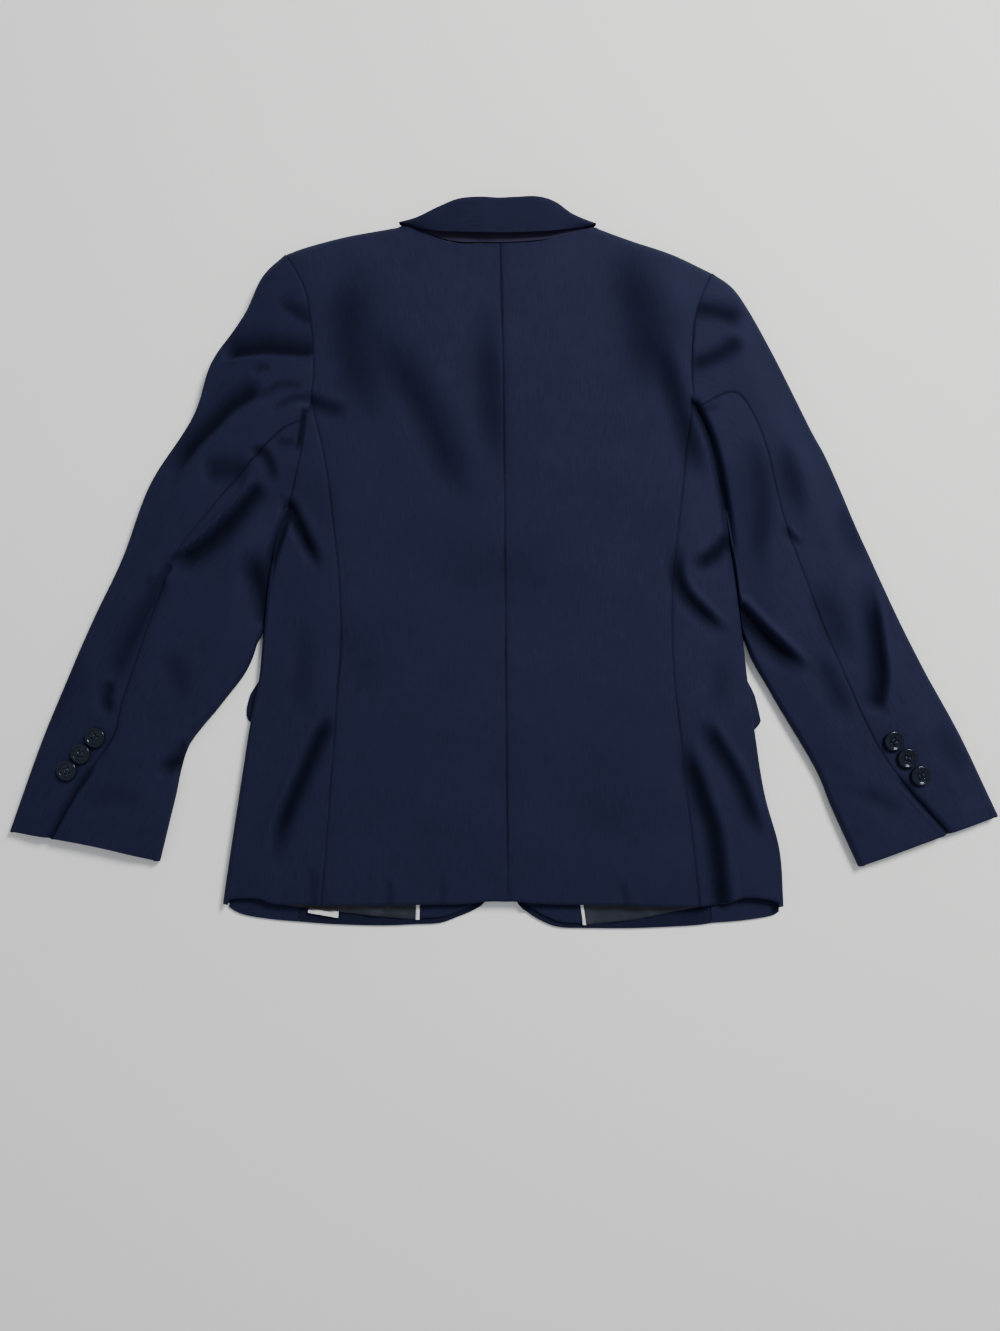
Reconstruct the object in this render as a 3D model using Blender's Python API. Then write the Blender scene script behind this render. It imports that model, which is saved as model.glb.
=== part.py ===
"""Boy's navy suit jacket, laid flat on a table with its back up.

The frame is +X to the right, +Y towards the collar and +Z up from the table,
with the origin under the middle of the outline. Tables and sizes are in
millimetres. The wearer's left is at -X.

Every cloth piece is a wall worked out in two steps. Its place on the table is
a net stretched between its seams, and its height comes from one smooth height
of the back or of a sleeve. The underside lies flat and is lifted only where it
passes over a lapel, a flap, a button or the other front.
"""

import math

import bmesh
import bpy
import numpy as np

MM = 0.001

# ---------------------------------------------------------------- sizes, mm
WALL = 2.0                # outer cloth with its interlining and lining
THIN_WALL = 1.2           # collar, facing and lining by themselves
PLATE = 1.6               # lapels, collar ends and flaps under the fronts
SEAM_GAP = 0.4            # between two pieces along a seam
ARMHOLE_GAP = 0.9         # between a sleeve and the body
SIDE_GAP = 1.2            # between a sleeve and the body below the armpit
LAY_GAP = 0.45            # between a piece and the piece that it lies on
FACING_GAP = 0.95         # between a front and its facing
OVER_GAP = 1.05           # between the two fronts, whose nets differ
SHOULDER_MIDDLE = 8.0     # height of the shoulder seam
SHOULDER_ROUND = 9.0      # how far in from the shoulder seam it rounds over
PAD_RISE = 3.0            # extra height of a shoulder pad
PAD_SPREAD = (34.0, 26.0)
PAD_PLACES = ((-140.0, 212.0), (132.0, 200.0))
SIDE_SLOPE = 40.0         # from the side fold to the full height of the back
SLEEVE_SLOPE = 28.0       # the same across a sleeve
HEAD_BLEND = 55.0         # a sleeve takes up its own height over this length
LIFT_HOLD = 6.0           # an underside is fully lifted this far round a piece
LIFT_FALL = 26.0          # and is back on the table after this much more
OVERLAP = 15.0            # each front passes the centre by nearly this much
LAP_TOP = 20.0            # the right front lies on the left up to this y
LAP_FADE = 60.0           # and is down again after this much more

BUTTON_RADIUS = 7.7
BUTTON_HEIGHT = 2.9
BUTTON_SIDES = 16
FRONT_BUTTON_RADIUS = 9.5
FRONT_BUTTON_HEIGHT = 1.9

# -------------------------------------------------- how finely it is divided
SEAM_ROWS = 17            # along a side seam
ARMHOLE_ROWS = 7          # along the armhole above the side seam
NECK_COLUMNS = 6
SHOULDER_COLUMNS = 6
SIDE_COLUMNS = 6          # from side seam to side fold
UNDER_COLUMNS = 4         # from side fold to the seam underneath
SLEEVE_RINGS = 19
UPPER_COLUMNS = 6         # across each half of a sleeve's upper side
LOWER_COLUMNS = 4
FRONT_COLUMNS = 8

# ------------------------------------------- heights of the upper side, mm
HEIGHT_COLUMNS = ("y", "middle", "edge")
BODY_HEIGHTS = (
    (-262.0, 11.0, 8.8),
    (-150.0, 11.0, 9.0),
    (-40.0, 11.0, 9.0),
    (50.0, 12.5, 9.4),
    (130.0, 15.0, 12.0),
    (200.0, 17.0, 15.0),
    (262.0, 16.5, 15.0),
)
SLEEVE_HEIGHTS = (
    (-235.0, 10.4, 8.8),
    (-100.0, 11.4, 9.0),
    (50.0, 13.0, 9.6),
    (150.0, 15.5, 12.5),
    (240.0, 18.0, 16.0),
)

# ------------------------------------------------ seams and edges, (x, y) mm
CENTRE_BACK = ((3, -255), (2, -152), (0, 78), (-1, 162), (-3, 243))

SEAMS = {
    "left": {
        "side": ((-139, -258), (-128, -111), (-124, -40), (-133, 61), (-146, 126)),
        "armhole": ((-146, 126), (-144, 151), (-146, 185), (-151, 210), (-166, 237)),
        "armpit": ((-146, 126), (-150, 112), (-154, 87), (-164, 44)),
        "hem": ((3, -255), (-14, -255), (-41, -257), (-139, -258)),
        "side_hem": ((-139, -258), (-173, -257), (-187, -253), (-204, -253), (-213, -256)),
        "neck": ((-3, 243), (-33, 243), (-48, 246), (-59, 251), (-80, 258)),
        "shoulder": ((-80, 258), (-118, 251), (-149, 243), (-166, 237)),
        "fold": ((-215, -257), (-210, -223), (-195, -126), (-187, -84), (-184, -48),
                 (-179, 0), (-173, 24), (-164, 44)),
        "under": ((-158, -272), (-146, -150), (-140, -50), (-142, 40), (-146, 126)),
        "under_hem": ((-215, -258), (-202, -266), (-180, -270), (-158, -272)),
        "front_hem": ((-158, -272), (-130, -274), (-93, -275), (-67, -274)),
        "front_edge": ((-67, -274), (-49, -273), (-35, -268), (-23, -263), (-14, -256),
                       (0, -232), (11, -190), (13, -100), (12, -36)),
        "roll": ((12, -36), (-26, 80), (-60, 190), (-80, 258)),
        "hindarm": ((-150, 112), (-170, 102), (-195, 76), (-222, 44), (-246, 14),
                    (-261, -18), (-290, -103), (-296, -128), (-322, -165), (-344, -204)),
        "sleeve_outer": ((-166, 237), (-184, 220), (-198, 192), (-223, 156), (-237, 116),
                         (-270, 64), (-292, 6), (-317, -47), (-349, -122), (-378, -202)),
        "sleeve_inner": ((-164, 44), (-174, 22), (-180, 0), (-186, -50), (-195, -78),
                         (-215, -105), (-241, -139), (-250, -176), (-262, -225)),
    },
    "right": {
        "side": ((149, -259), (136, -143), (128, -68), (130, 7), (143, 126)),
        "armhole": ((143, 126), (142, 152), (144, 187), (150, 206), (158, 223)),
        "armpit": ((143, 126), (152, 110), (159, 91), (170, 44)),
        "hem": ((3, -255), (10, -255), (40, -257), (149, -259)),
        "side_hem": ((149, -259), (170, -256), (183, -252), (203, -254), (213, -259)),
        "neck": ((-3, 243), (22, 244), (37, 247), (51, 251), (72, 257)),
        "shoulder": ((72, 257), (99, 247), (128, 237), (158, 223)),
        "fold": ((214, -259), (211, -216), (199, -171), (188, -100), (183, -58),
                 (177, -8), (173, 20), (170, 44)),
        "under": ((160, -273), (148, -150), (142, -50), (144, 40), (143, 126)),
        "under_hem": ((214, -261), (207, -267), (184, -271), (160, -273)),
        "front_hem": ((160, -273), (144, -275), (100, -277), (62, -277)),
        "front_edge": ((62, -277), (41, -276), (26, -270), (16, -263), (10, -256),
                       (1, -232), (-9, -190), (-13, -100), (-12, -36)),
        "roll": ((-12, -36), (24, 80), (54, 190), (72, 257)),
        "hindarm": ((147, 119), (160, 127), (172, 132), (182, 126), (198, 93), (211, 41),
                    (226, -2), (257, -79), (284, -136), (309, -171), (340, -205)),
        "sleeve_outer": ((158, 223), (178, 207), (204, 164), (233, 107), (247, 81),
                         (271, 27), (295, -26), (322, -80), (348, -127), (378, -190)),
        "sleeve_inner": ((170, 44), (173, 20), (178, -10), (184, -59), (204, -98),
                         (237, -154), (250, -185), (270, -229)),
    },
}

# A fold is a soft trough (below 0) or ridge (above 0) along a straight run.
FOLD_COLUMNS = ("part", "x0", "y0", "x1", "y1", "half_width", "rise")
FOLDS = (
    ("sleeve", -184, 66, -206, 28, 8, -3.6),
    ("sleeve", -206, 28, -252, -6, 8, -3.4),
    ("sleeve", -192, 133, -252, 76, 10, -2.6),
    ("sleeve", -152, 162, -206, 180, 10, -2.4),
    ("sleeve", -209, 2, -182, -36, 9, -2.6),
    ("sleeve", -232, 83, -200, 66, 8, -1.6),
    ("sleeve", -262, -158, -246, -142, 7, -1.8),
    ("sleeve", 184, -38, 230, -76, 8, -3.4),
    ("sleeve", 292, -44, 287, -111, 8, -2.2),
    ("sleeve", 153, 196, 186, 188, 8, -2.0),
    ("sleeve", 150, 160, 182, 168, 8, -2.0),
    ("sleeve", -228, 52, -262, 22, 9, 1.6),
    ("sleeve", 205, -38, 240, -66, 9, 1.4),
    ("body", -162, 43, -141, 2, 7, -3.0),
    ("body", -131, -118, -175, -222, 8, -3.0),
    ("body", 137, -140, 166, -244, 8, -3.0),
    ("body", 157, -124, 194, -196, 8, -2.0),
    ("body", 170, 13, 138, -6, 7, -2.8),
    ("body", 134, -16, 168, -48, 8, -2.8),
    ("body", -92, 162, -40, 83, 16, -1.8),
    ("body", 99, 169, 133, 78, 12, -2.2),
)

# ------------------------------------- plates that lie under the fronts, mm
LAPELS = {
    "left": ((8, -24), (-24, 74), (-57, 187), (-84, 172), (-104, 150), (-92, 100), (-50, 30)),
    "right": ((17, -16), (27, 74), (51, 187), (76, 172), (97, 150), (87, 100), (52, 30)),
}
COLLAR_ENDS = {
    "left": ((-59, 193), (-84, 178), (-110, 184), (-119, 226), (-84, 240)),
    "right": ((53, 193), (76, 178), (100, 184), (108, 216), (76, 238)),
}
FLAPS = {
    "left": ((-183, -82), (-189, -88), (-195, -97), (-198, -108), (-198, -116),
             (-193, -121), (-150, -126), (-84, -124), (-84, -84)),
    "right": ((182, -82), (188, -88), (193, -98), (196, -110), (198, -119),
              (192, -126), (150, -128), (84, -126), (84, -84)),
}
FRONT_BUTTONS = ((0.0, -46.0), (0.0, -132.0))
SLEEVE_BUTTONS = {
    "left": ((-309.5, -130.0), (-320.5, -142.3), (-331.0, -155.0)),
    "right": ((295.5, -132.5), (306.0, -145.5), (316.0, -158.8)),
}

# ---------------------------------------- pieces that show inside the hem, mm
INSIDE_TOP = -196.0       # they end here, well inside the hem
PIPING_WIDTH = 3.0
PIPING_RISE = 0.4         # the piping stands this much above the lining
PIPING_X = {"left": -66.0, "right": 60.5}
FACING_HEM = {
    "left": ((-64, -269), (-48, -268), (-35, -264)),
    "right": ((62, -273), (44, -272), (29, -266)),
}
FACING_EDGE = {
    "left": ((-35, -264), (-24, -258.5), (-17, -251), (-13, -232), (-14, -196)),
    "right": ((29, -266), (19, -259), (11, -250), (5, -232), (0, -196)),
}
FACING_ROWS = 6
FACING_COLUMNS = 4
LINING_HEM = {
    "left": ((-68.2, -270), (-110, -266), (-150, -261), (-178, -258)),
    "right": ((62.8, -274), (100, -270), (140, -262), (178, -256)),
}
LABEL = ((-150.0, -263.5), (-126.5, -267.0), (-125.0, -249.0), (-148.0, -247.0))
LABEL_WALL = 0.7

# ------------------------------------------------------------ the collar, mm
COLLAR_COLUMNS = ("x_fold", "y_fold", "x_leaf", "y_leaf", "x_neck", "y_neck",
                  "top", "bottom")
COLLAR = (
    (-79.5, 260.0, -74.5, 256.8, -73.8, 258.0, 17.0, 10.5),
    (-66.0, 262.5, -63.0, 253.4, -61.5, 252.9, 20.5, 12.4),
    (-49.0, 270.0, -48.0, 250.4, -48.0, 247.4, 22.8, 13.2),
    (-35.0, 275.2, -32.0, 249.4, -33.0, 244.2, 24.0, 14.0),
    (-19.0, 276.6, -18.0, 248.8, -18.0, 243.9, 24.5, 14.2),
    (-4.0, 276.0, -4.0, 248.6, -4.0, 243.8, 24.5, 14.2),
    (10.0, 276.6, 9.0, 248.8, 9.0, 244.2, 24.5, 14.2),
    (25.0, 277.0, 23.0, 249.6, 23.0, 245.2, 24.0, 14.0),
    (38.0, 273.6, 37.0, 250.8, 37.0, 248.4, 22.8, 13.2),
    (53.0, 264.5, 51.0, 253.6, 50.0, 252.7, 20.5, 12.4),
    (70.0, 259.0, 65.0, 256.2, 65.5, 257.2, 17.0, 10.5),
)
COLLAR_FOLD_STEPS = 4

# ------------------------------ points round a fold edge, degrees from level
SIDE_FOLD = (54, 18, -18, -54)
SLEEVE_EDGE = (60, 31, 2)            # of the sleeve's upper pieces
SLEEVE_BELOW_EDGE = (-6, -31, -60)   # of the layer on the table

# ------------- y of the seams across the sleeve's layer on the table, mm
SLEEVE_BELOW_SEAMS = (60.0, -60.0)

# ------------------------------------------------------------------ colours
COLOURS = {
    "wool": ((0.016, 0.022, 0.055), 0.85),
    "under_collar": ((0.022, 0.020, 0.050), 0.95),
    "satin": ((0.045, 0.052, 0.080), 0.45),
    "white": ((0.80, 0.80, 0.80), 0.60),
    "button": ((0.010, 0.011, 0.016), 0.18),
}


# ---------------------------------------------------------- curves and nets
def curve(points, count):
    """Evenly spaced points along a smooth curve through the given ones."""
    points = np.array(points, dtype=float)
    before = 2 * points[0] - points[1]
    after = 2 * points[-1] - points[-2]
    knots = np.vstack([before, points, after])
    dense = []
    for k in range(1, len(knots) - 2):
        p0, p1, p2, p3 = knots[k - 1:k + 3]
        for t in np.linspace(0, 1, 24, endpoint=False):
            dense.append(0.5 * (2 * p1 + (p2 - p0) * t
                                + (2 * p0 - 5 * p1 + 4 * p2 - p3) * t ** 2
                                + (3 * p1 - p0 - 3 * p2 + p3) * t ** 3))
    dense.append(points[-1])
    return spread(np.array(dense), np.linspace(0, 1, count))


def spread(line, shares):
    """Points at the given shares of a polyline's length."""
    steps = np.linalg.norm(np.diff(line, axis=0), axis=1)
    along = np.concatenate([[0.0], np.cumsum(steps)])
    wanted = np.asarray(shares) * along[-1]
    return np.stack([np.interp(wanted, along, line[:, k]) for k in range(line.shape[1])], axis=1)


def joined(*parts):
    """One run of points from several, without the doubled joints."""
    run = [parts[0]]
    for part in parts[1:]:
        run.append(part[1:])
    return np.vstack(run)


def net(bottom, top, start, end):
    """A net of points between four edges, rows from bottom to top."""
    rows, columns = len(start), len(bottom)
    v = np.linspace(0, 1, rows)[:, None, None]
    u = np.linspace(0, 1, columns)[None, :, None]
    across = (1 - v) * bottom[None] + v * top[None]
    along = (1 - u) * start[:, None] + u * end[:, None]
    corners = ((1 - v) * ((1 - u) * bottom[0] + u * bottom[-1])
               + v * ((1 - u) * top[0] + u * top[-1]))
    return across + along - corners


def moved(line, distance):
    """A polyline moved to its left by a distance."""
    direction = np.gradient(line, axis=0)
    direction /= np.linalg.norm(direction, axis=1)[:, None]
    return line + distance * np.stack([-direction[:, 1], direction[:, 0]], axis=1)


def nearest(points, line):
    """Distance from each point to a polyline."""
    shape = points.shape[:-1]
    flat = points.reshape(-1, 1, 2)
    start = line[:-1][None]
    run = np.diff(line, axis=0)[None]
    length = np.maximum((run ** 2).sum(-1), 1e-9)
    share = np.clip(((flat - start) * run).sum(-1) / length, 0, 1)
    gap = np.linalg.norm(flat - start - share[..., None] * run, axis=-1)
    return gap.min(axis=1).reshape(shape)


def outside(points, outline):
    """Distance from each point to an outline, 0 inside it."""
    ring = np.vstack([outline, outline[:1]]).astype(float)
    gap = nearest(points, ring)
    x, y = points[..., 0], points[..., 1]
    inside = np.zeros(x.shape, dtype=bool)
    for (x0, y0), (x1, y1) in zip(ring[:-1], ring[1:]):
        if y0 == y1:
            continue
        crosses = (y0 > y) != (y1 > y)
        inside ^= crosses & (x < (x1 - x0) * (y - y0) / (y1 - y0) + x0)
    return np.where(inside, 0.0, gap)


def smooth(share):
    """A soft step from 0 to 1."""
    share = np.clip(share, 0, 1)
    return share * share * (3 - 2 * share)


# ---------------------------------------------------------------- heights
def along_y(rows, y):
    """Middle and edge heights at y, read from a smooth curve through rows."""
    dense = dict(zip(HEIGHT_COLUMNS, curve(rows, 80).T))
    return tuple(np.interp(y, dense["y"], dense[name]) for name in ("middle", "edge"))


def folds(points, part):
    """The rise of all folds of one part."""
    rise = np.zeros(points.shape[:-1])
    for row in FOLDS:
        fold = dict(zip(FOLD_COLUMNS, row))
        if fold["part"] != part:
            continue
        run = np.array([(fold["x0"], fold["y0"]), (fold["x1"], fold["y1"])], dtype=float)
        rise += fold["rise"] * np.exp(-(nearest(points, run) / fold["half_width"]) ** 2)
    return rise


FOLD_LINES = [curve(SEAMS[side]["fold"], 40) for side in SEAMS]
SHOULDER_LINES = [curve(SEAMS[side]["shoulder"], 20) for side in SEAMS]


def body_top(points):
    """Height of the back's outer face."""
    middle, edge = along_y(BODY_HEIGHTS, points[..., 1])
    inside = np.minimum(*[nearest(points, line) for line in FOLD_LINES])
    height = edge + (middle - edge) * smooth(inside / SIDE_SLOPE)
    for x, y in PAD_PLACES:
        height += PAD_RISE * np.exp(-((points[..., 0] - x) / PAD_SPREAD[0]) ** 2
                                    - ((points[..., 1] - y) / PAD_SPREAD[1]) ** 2)
    height += folds(points, "body")
    from_shoulder = np.minimum(*[nearest(points, line) for line in SHOULDER_LINES])
    reach = 1 - np.clip(from_shoulder / SHOULDER_ROUND, 0, 1)
    return SHOULDER_MIDDLE + (height - SHOULDER_MIDDLE) * np.sqrt(1 - reach ** 2)


def sleeve_top(side):
    """Height of one sleeve's upper face, as a function."""
    seams = SEAMS[side]
    edges = [curve(seams[name], 60) for name in ("sleeve_outer", "sleeve_inner")]
    armhole = armhole_line(side)

    def height(points):
        middle, edge = along_y(SLEEVE_HEIGHTS, points[..., 1])
        inside = np.minimum(*[nearest(points, line) for line in edges])
        own = edge + (middle - edge) * smooth(inside / SLEEVE_SLOPE)
        own += folds(points, "sleeve")
        share = smooth(nearest(points, armhole) / HEAD_BLEND)
        return own * share + body_top(points) * (1 - share)

    return height


def armhole_line(side):
    """The whole armhole seam, from the shoulder tip to the armpit."""
    upper = curve(SEAMS[side]["armhole"], 30)[::-1]
    lower = curve(SEAMS[side]["armpit"], 30)
    return joined(upper, lower)


def lifts(points, side):
    """How far an underside is lifted off the table by what it passes over."""
    lift = np.zeros(points.shape[:-1])
    for outline in (LAPELS[side], COLLAR_ENDS[side], FLAPS[side]):
        gap = outside(points, np.array(outline, dtype=float))
        held = 1 - smooth((gap - LIFT_HOLD) / LIFT_FALL)
        lift = np.maximum(lift, (PLATE + LAY_GAP) * held)
    for x, y in FRONT_BUTTONS:
        gap = np.linalg.norm(points - np.array([x, y]), axis=-1) - FRONT_BUTTON_RADIUS
        held = 1 - smooth((gap - LIFT_HOLD) / LIFT_FALL)
        lift = np.maximum(lift, (FRONT_BUTTON_HEIGHT + LAY_GAP) * held)
    if side == "right":
        edge = joined(curve(SEAMS["left"]["front_edge"], 30), curve(SEAMS["left"]["roll"], 20)[:4])
        gap = np.where(points[..., 0] < OVERLAP, 0.0, nearest(points, edge))
        held = 1 - smooth((gap - LIFT_HOLD) / LIFT_FALL)
        near = 1 - smooth((points[..., 1] - LAP_TOP) / LAP_FADE)
        left = lifts(points, "left")
        lift = np.maximum(lift, (left + WALL + OVER_GAP) * held * near)
    return lift


def shoulder_lift(points, lift):
    """The front's outer face, which rounds up to the shoulder seam."""
    from_shoulder = np.minimum(*[nearest(points, line) for line in SHOULDER_LINES])
    reach = 1 - np.clip(from_shoulder / SHOULDER_ROUND, 0, 1)
    top = SHOULDER_MIDDLE - SEAM_GAP
    return top + (lift - top) * np.sqrt(1 - reach ** 2)


# ------------------------------------------------------------------ meshes
def material(kind):
    """The Principled material of one kind of surface."""
    found = bpy.data.materials.get(kind)
    if found:
        return found
    colour, roughness = COLOURS[kind]
    made = bpy.data.materials.new(kind)
    made.use_nodes = True
    shader = made.node_tree.nodes["Principled BSDF"]
    shader.inputs["Base Color"].default_value = (*colour, 1.0)
    shader.inputs["Roughness"].default_value = roughness
    shader.inputs["Metallic"].default_value = 0.0
    return made


def add(name, points, faces, kind):
    """One named object from points in millimetres, with its faces out."""
    mesh = bmesh.new()
    corners = [mesh.verts.new(tuple(float(c) * MM for c in p)) for p in points]
    for face in faces:
        mesh.faces.new([corners[k] for k in face])
    bmesh.ops.triangulate(mesh, faces=mesh.faces[:])
    if mesh.calc_volume(signed=True) < 0:
        bmesh.ops.reverse_faces(mesh, faces=mesh.faces[:])
    data = bpy.data.meshes.new(name)
    mesh.to_mesh(data)
    mesh.free()
    data.materials.append(material(kind))
    data.shade_smooth()
    data.set_sharp_from_angle(angle=math.radians(40))
    made = bpy.data.objects.new(name, data)
    bpy.context.collection.objects.link(made)
    return made


def wall(name, outer, inner, kind):
    """A closed wall between two nets of the same size."""
    rows, columns = outer.shape[:2]
    count = rows * columns

    def at(i, j, layer):
        return layer * count + i * columns + j

    faces = []
    for i in range(rows - 1):
        for j in range(columns - 1):
            faces.append((at(i, j, 0), at(i, j + 1, 0), at(i + 1, j + 1, 0), at(i + 1, j, 0)))
            faces.append((at(i, j, 1), at(i + 1, j, 1), at(i + 1, j + 1, 1), at(i, j + 1, 1)))
    for i in range(rows - 1):
        for j, flip in ((0, False), (columns - 1, True)):
            face = (at(i, j, 0), at(i + 1, j, 0), at(i + 1, j, 1), at(i, j, 1))
            faces.append(face[::-1] if flip else face)
    for j in range(columns - 1):
        for i, flip in ((0, True), (rows - 1, False)):
            face = (at(i, j, 0), at(i, j + 1, 0), at(i, j + 1, 1), at(i, j, 1))
            faces.append(face[::-1] if flip else face)
    points = np.vstack([outer.reshape(-1, 3), inner.reshape(-1, 3)])
    return add(name, points, faces, kind)


def raised(points, height):
    """Points of a net with their heights."""
    return np.concatenate([points, height[..., None]], axis=-1)


def slopes(points, height, centre):
    """Upward unit normals of a height, read just inside the net's edge."""
    inward = centre - points
    inward /= np.maximum(np.linalg.norm(inward, axis=-1), 1e-6)[..., None]
    probe = points + 0.4 * inward
    step = 0.3
    east, north = np.array([step, 0.0]), np.array([0.0, step])
    gx = (height(probe + east) - height(probe - east)) / (2 * step)
    gy = (height(probe + north) - height(probe - north)) / (2 * step)
    normal = np.stack([-gx, -gy, np.ones_like(gx)], axis=-1)
    return normal / np.linalg.norm(normal, axis=-1)[..., None]


def sheet(name, points, height, kind, thickness=WALL, up=True, shoulder_from=None):
    """A wall whose outer face has the given height over a net in the plan.

    Its last row is upright from the given column on, along the shoulder seam.
    """
    centre = points.reshape(-1, 2).mean(axis=0)
    normal = slopes(points, height, centre)
    if shoulder_from is not None:
        upright = normal[-1, shoulder_from:]
        upright[:, 2] = 0
        upright /= np.linalg.norm(upright, axis=1)[:, None]
    outer = raised(points, height(points))
    inner = outer + normal * thickness * np.where(up, -1, 1)
    return wall(name, outer, inner, kind)


def plate(name, outline, bottom, top, kind):
    """A flat plate with the given outline."""
    outline = np.array(outline, dtype=float)
    count = len(outline)
    low = np.column_stack([outline, np.full(count, bottom)])
    high = np.column_stack([outline, np.full(count, top)])
    faces = [tuple(range(count)), tuple(range(2 * count - 1, count - 1, -1))]
    for k in range(count):
        after = (k + 1) % count
        faces.append((k, k + count, after + count, after))
    return add(name, np.vstack([low, high]), faces, kind)


# ------------------------------------------------------------ body panels
def back(side):
    """A back panel: centre seam, hem, side seam, armhole, shoulder, neck."""
    seams = SEAMS[side]
    turn = -1 if side == "left" else 1
    centre = curve(CENTRE_BACK, SEAM_ROWS + ARMHOLE_ROWS - 1)
    centre = centre + np.array([turn * SEAM_GAP / 2, 0])
    outer = joined(curve(seams["side"], SEAM_ROWS), curve(seams["armhole"], ARMHOLE_ROWS))
    outer = moved(outer, turn * SEAM_GAP / 2)
    columns = NECK_COLUMNS + SHOULDER_COLUMNS - 1
    hem = curve(seams["hem"], columns)
    top = joined(curve(seams["neck"], NECK_COLUMNS), curve(seams["shoulder"], SHOULDER_COLUMNS))
    hem[0], hem[-1] = centre[0], outer[0]
    top[0], top[-1] = centre[-1], outer[-1]
    points = net(hem, top, centre, outer)
    return sheet(f"back_{side}", points, body_top, "wool", shoulder_from=NECK_COLUMNS - 1)


def folded_edge(inset, outward, low, high, angles):
    """Outer and inner points round a fold, from its upper to its lower side."""
    half = (high - low) / 2
    outer, inner = [], []
    for angle in np.radians(angles):
        c, s = math.cos(angle), math.sin(angle)
        place = np.column_stack([inset + half[:, None] * c * outward, low + half + half * s])
        normal = np.column_stack([outward * c, np.full(len(inset), s)])
        outer.append(place)
        inner.append(place - normal * WALL)
    return np.stack(outer, axis=1), np.stack(inner, axis=1)


def side_panel(side):
    """The side panel, from its back seam round the side fold to its front seam."""
    seams = SEAMS[side]
    turn = -1 if side == "left" else 1
    seam = moved(curve(seams["side"], SEAM_ROWS), -turn * SEAM_GAP / 2)
    fold = curve(seams["fold"], SEAM_ROWS) - np.array([turn * SEAM_GAP / 2, 0])
    outward = moved(fold, 1.0) - fold
    outward *= -turn
    armpit = moved(curve(seams["armpit"], SIDE_COLUMNS), -turn * ARMHOLE_GAP / 2)

    half = (body_top(fold) - lifts(fold, side)) / 2
    inset = fold - outward * half[:, None]
    armpit[0], armpit[-1] = seam[-1], inset[-1]
    hem = curve(seams["side_hem"], SIDE_COLUMNS)
    hem[0], hem[-1] = seam[0], inset[0]
    upper = net(hem, armpit, seam, inset)
    centre = upper.reshape(-1, 2).mean(axis=0)
    upper_outer = raised(upper, body_top(upper))
    upper_inner = upper_outer - slopes(upper, body_top, centre) * WALL

    fold_outer, fold_inner = folded_edge(inset, outward, lifts(inset, side),
                                         body_top(inset), SIDE_FOLD)

    under = moved(curve(seams["under"], SEAM_ROWS), -turn * SEAM_GAP / 2)
    under_hem = curve(seams["under_hem"], UNDER_COLUMNS)
    under_top = curve(seams["armpit"], UNDER_COLUMNS)[::-1].copy()
    under_top = moved(under_top, turn * ARMHOLE_GAP / 2)
    under_hem[0], under_hem[-1] = inset[0], under[0]
    under_top[0], under_top[-1] = inset[-1], under[-1]
    lower = net(under_hem, under_top, inset, under)
    lower_outer = raised(lower, lifts(lower, side))
    lower_inner = lower_outer + np.array([0, 0, WALL])

    outer = np.concatenate([upper_outer, fold_outer, lower_outer], axis=1)
    inner = np.concatenate([upper_inner, fold_inner, lower_inner], axis=1)
    return wall(f"side_{side}", outer, inner, "wool")


def front(side):
    """A front panel, flat underneath, from its side seam to its front edge."""
    seams = SEAMS[side]
    turn = -1 if side == "left" else 1
    outer = joined(curve(seams["under"], SEAM_ROWS), curve(seams["armhole"], ARMHOLE_ROWS))
    outer = moved(outer, turn * SEAM_GAP / 2)
    edge = curve(seams["front_edge"], SEAM_ROWS - 4)
    inner_edge = joined(edge, curve(seams["roll"], ARMHOLE_ROWS + 4))
    hem = curve(seams["front_hem"], FRONT_COLUMNS)
    top = curve(seams["shoulder"], FRONT_COLUMNS)[::-1].copy()
    hem[0], hem[-1] = outer[0], inner_edge[0]
    top[0], top[-1] = outer[-1], inner_edge[-1]
    points = net(hem, top, outer, inner_edge)

    def height(places):
        return shoulder_lift(places, lifts(places, side))

    return sheet(f"front_{side}", points, height, "wool", up=False, shoulder_from=0)


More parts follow.
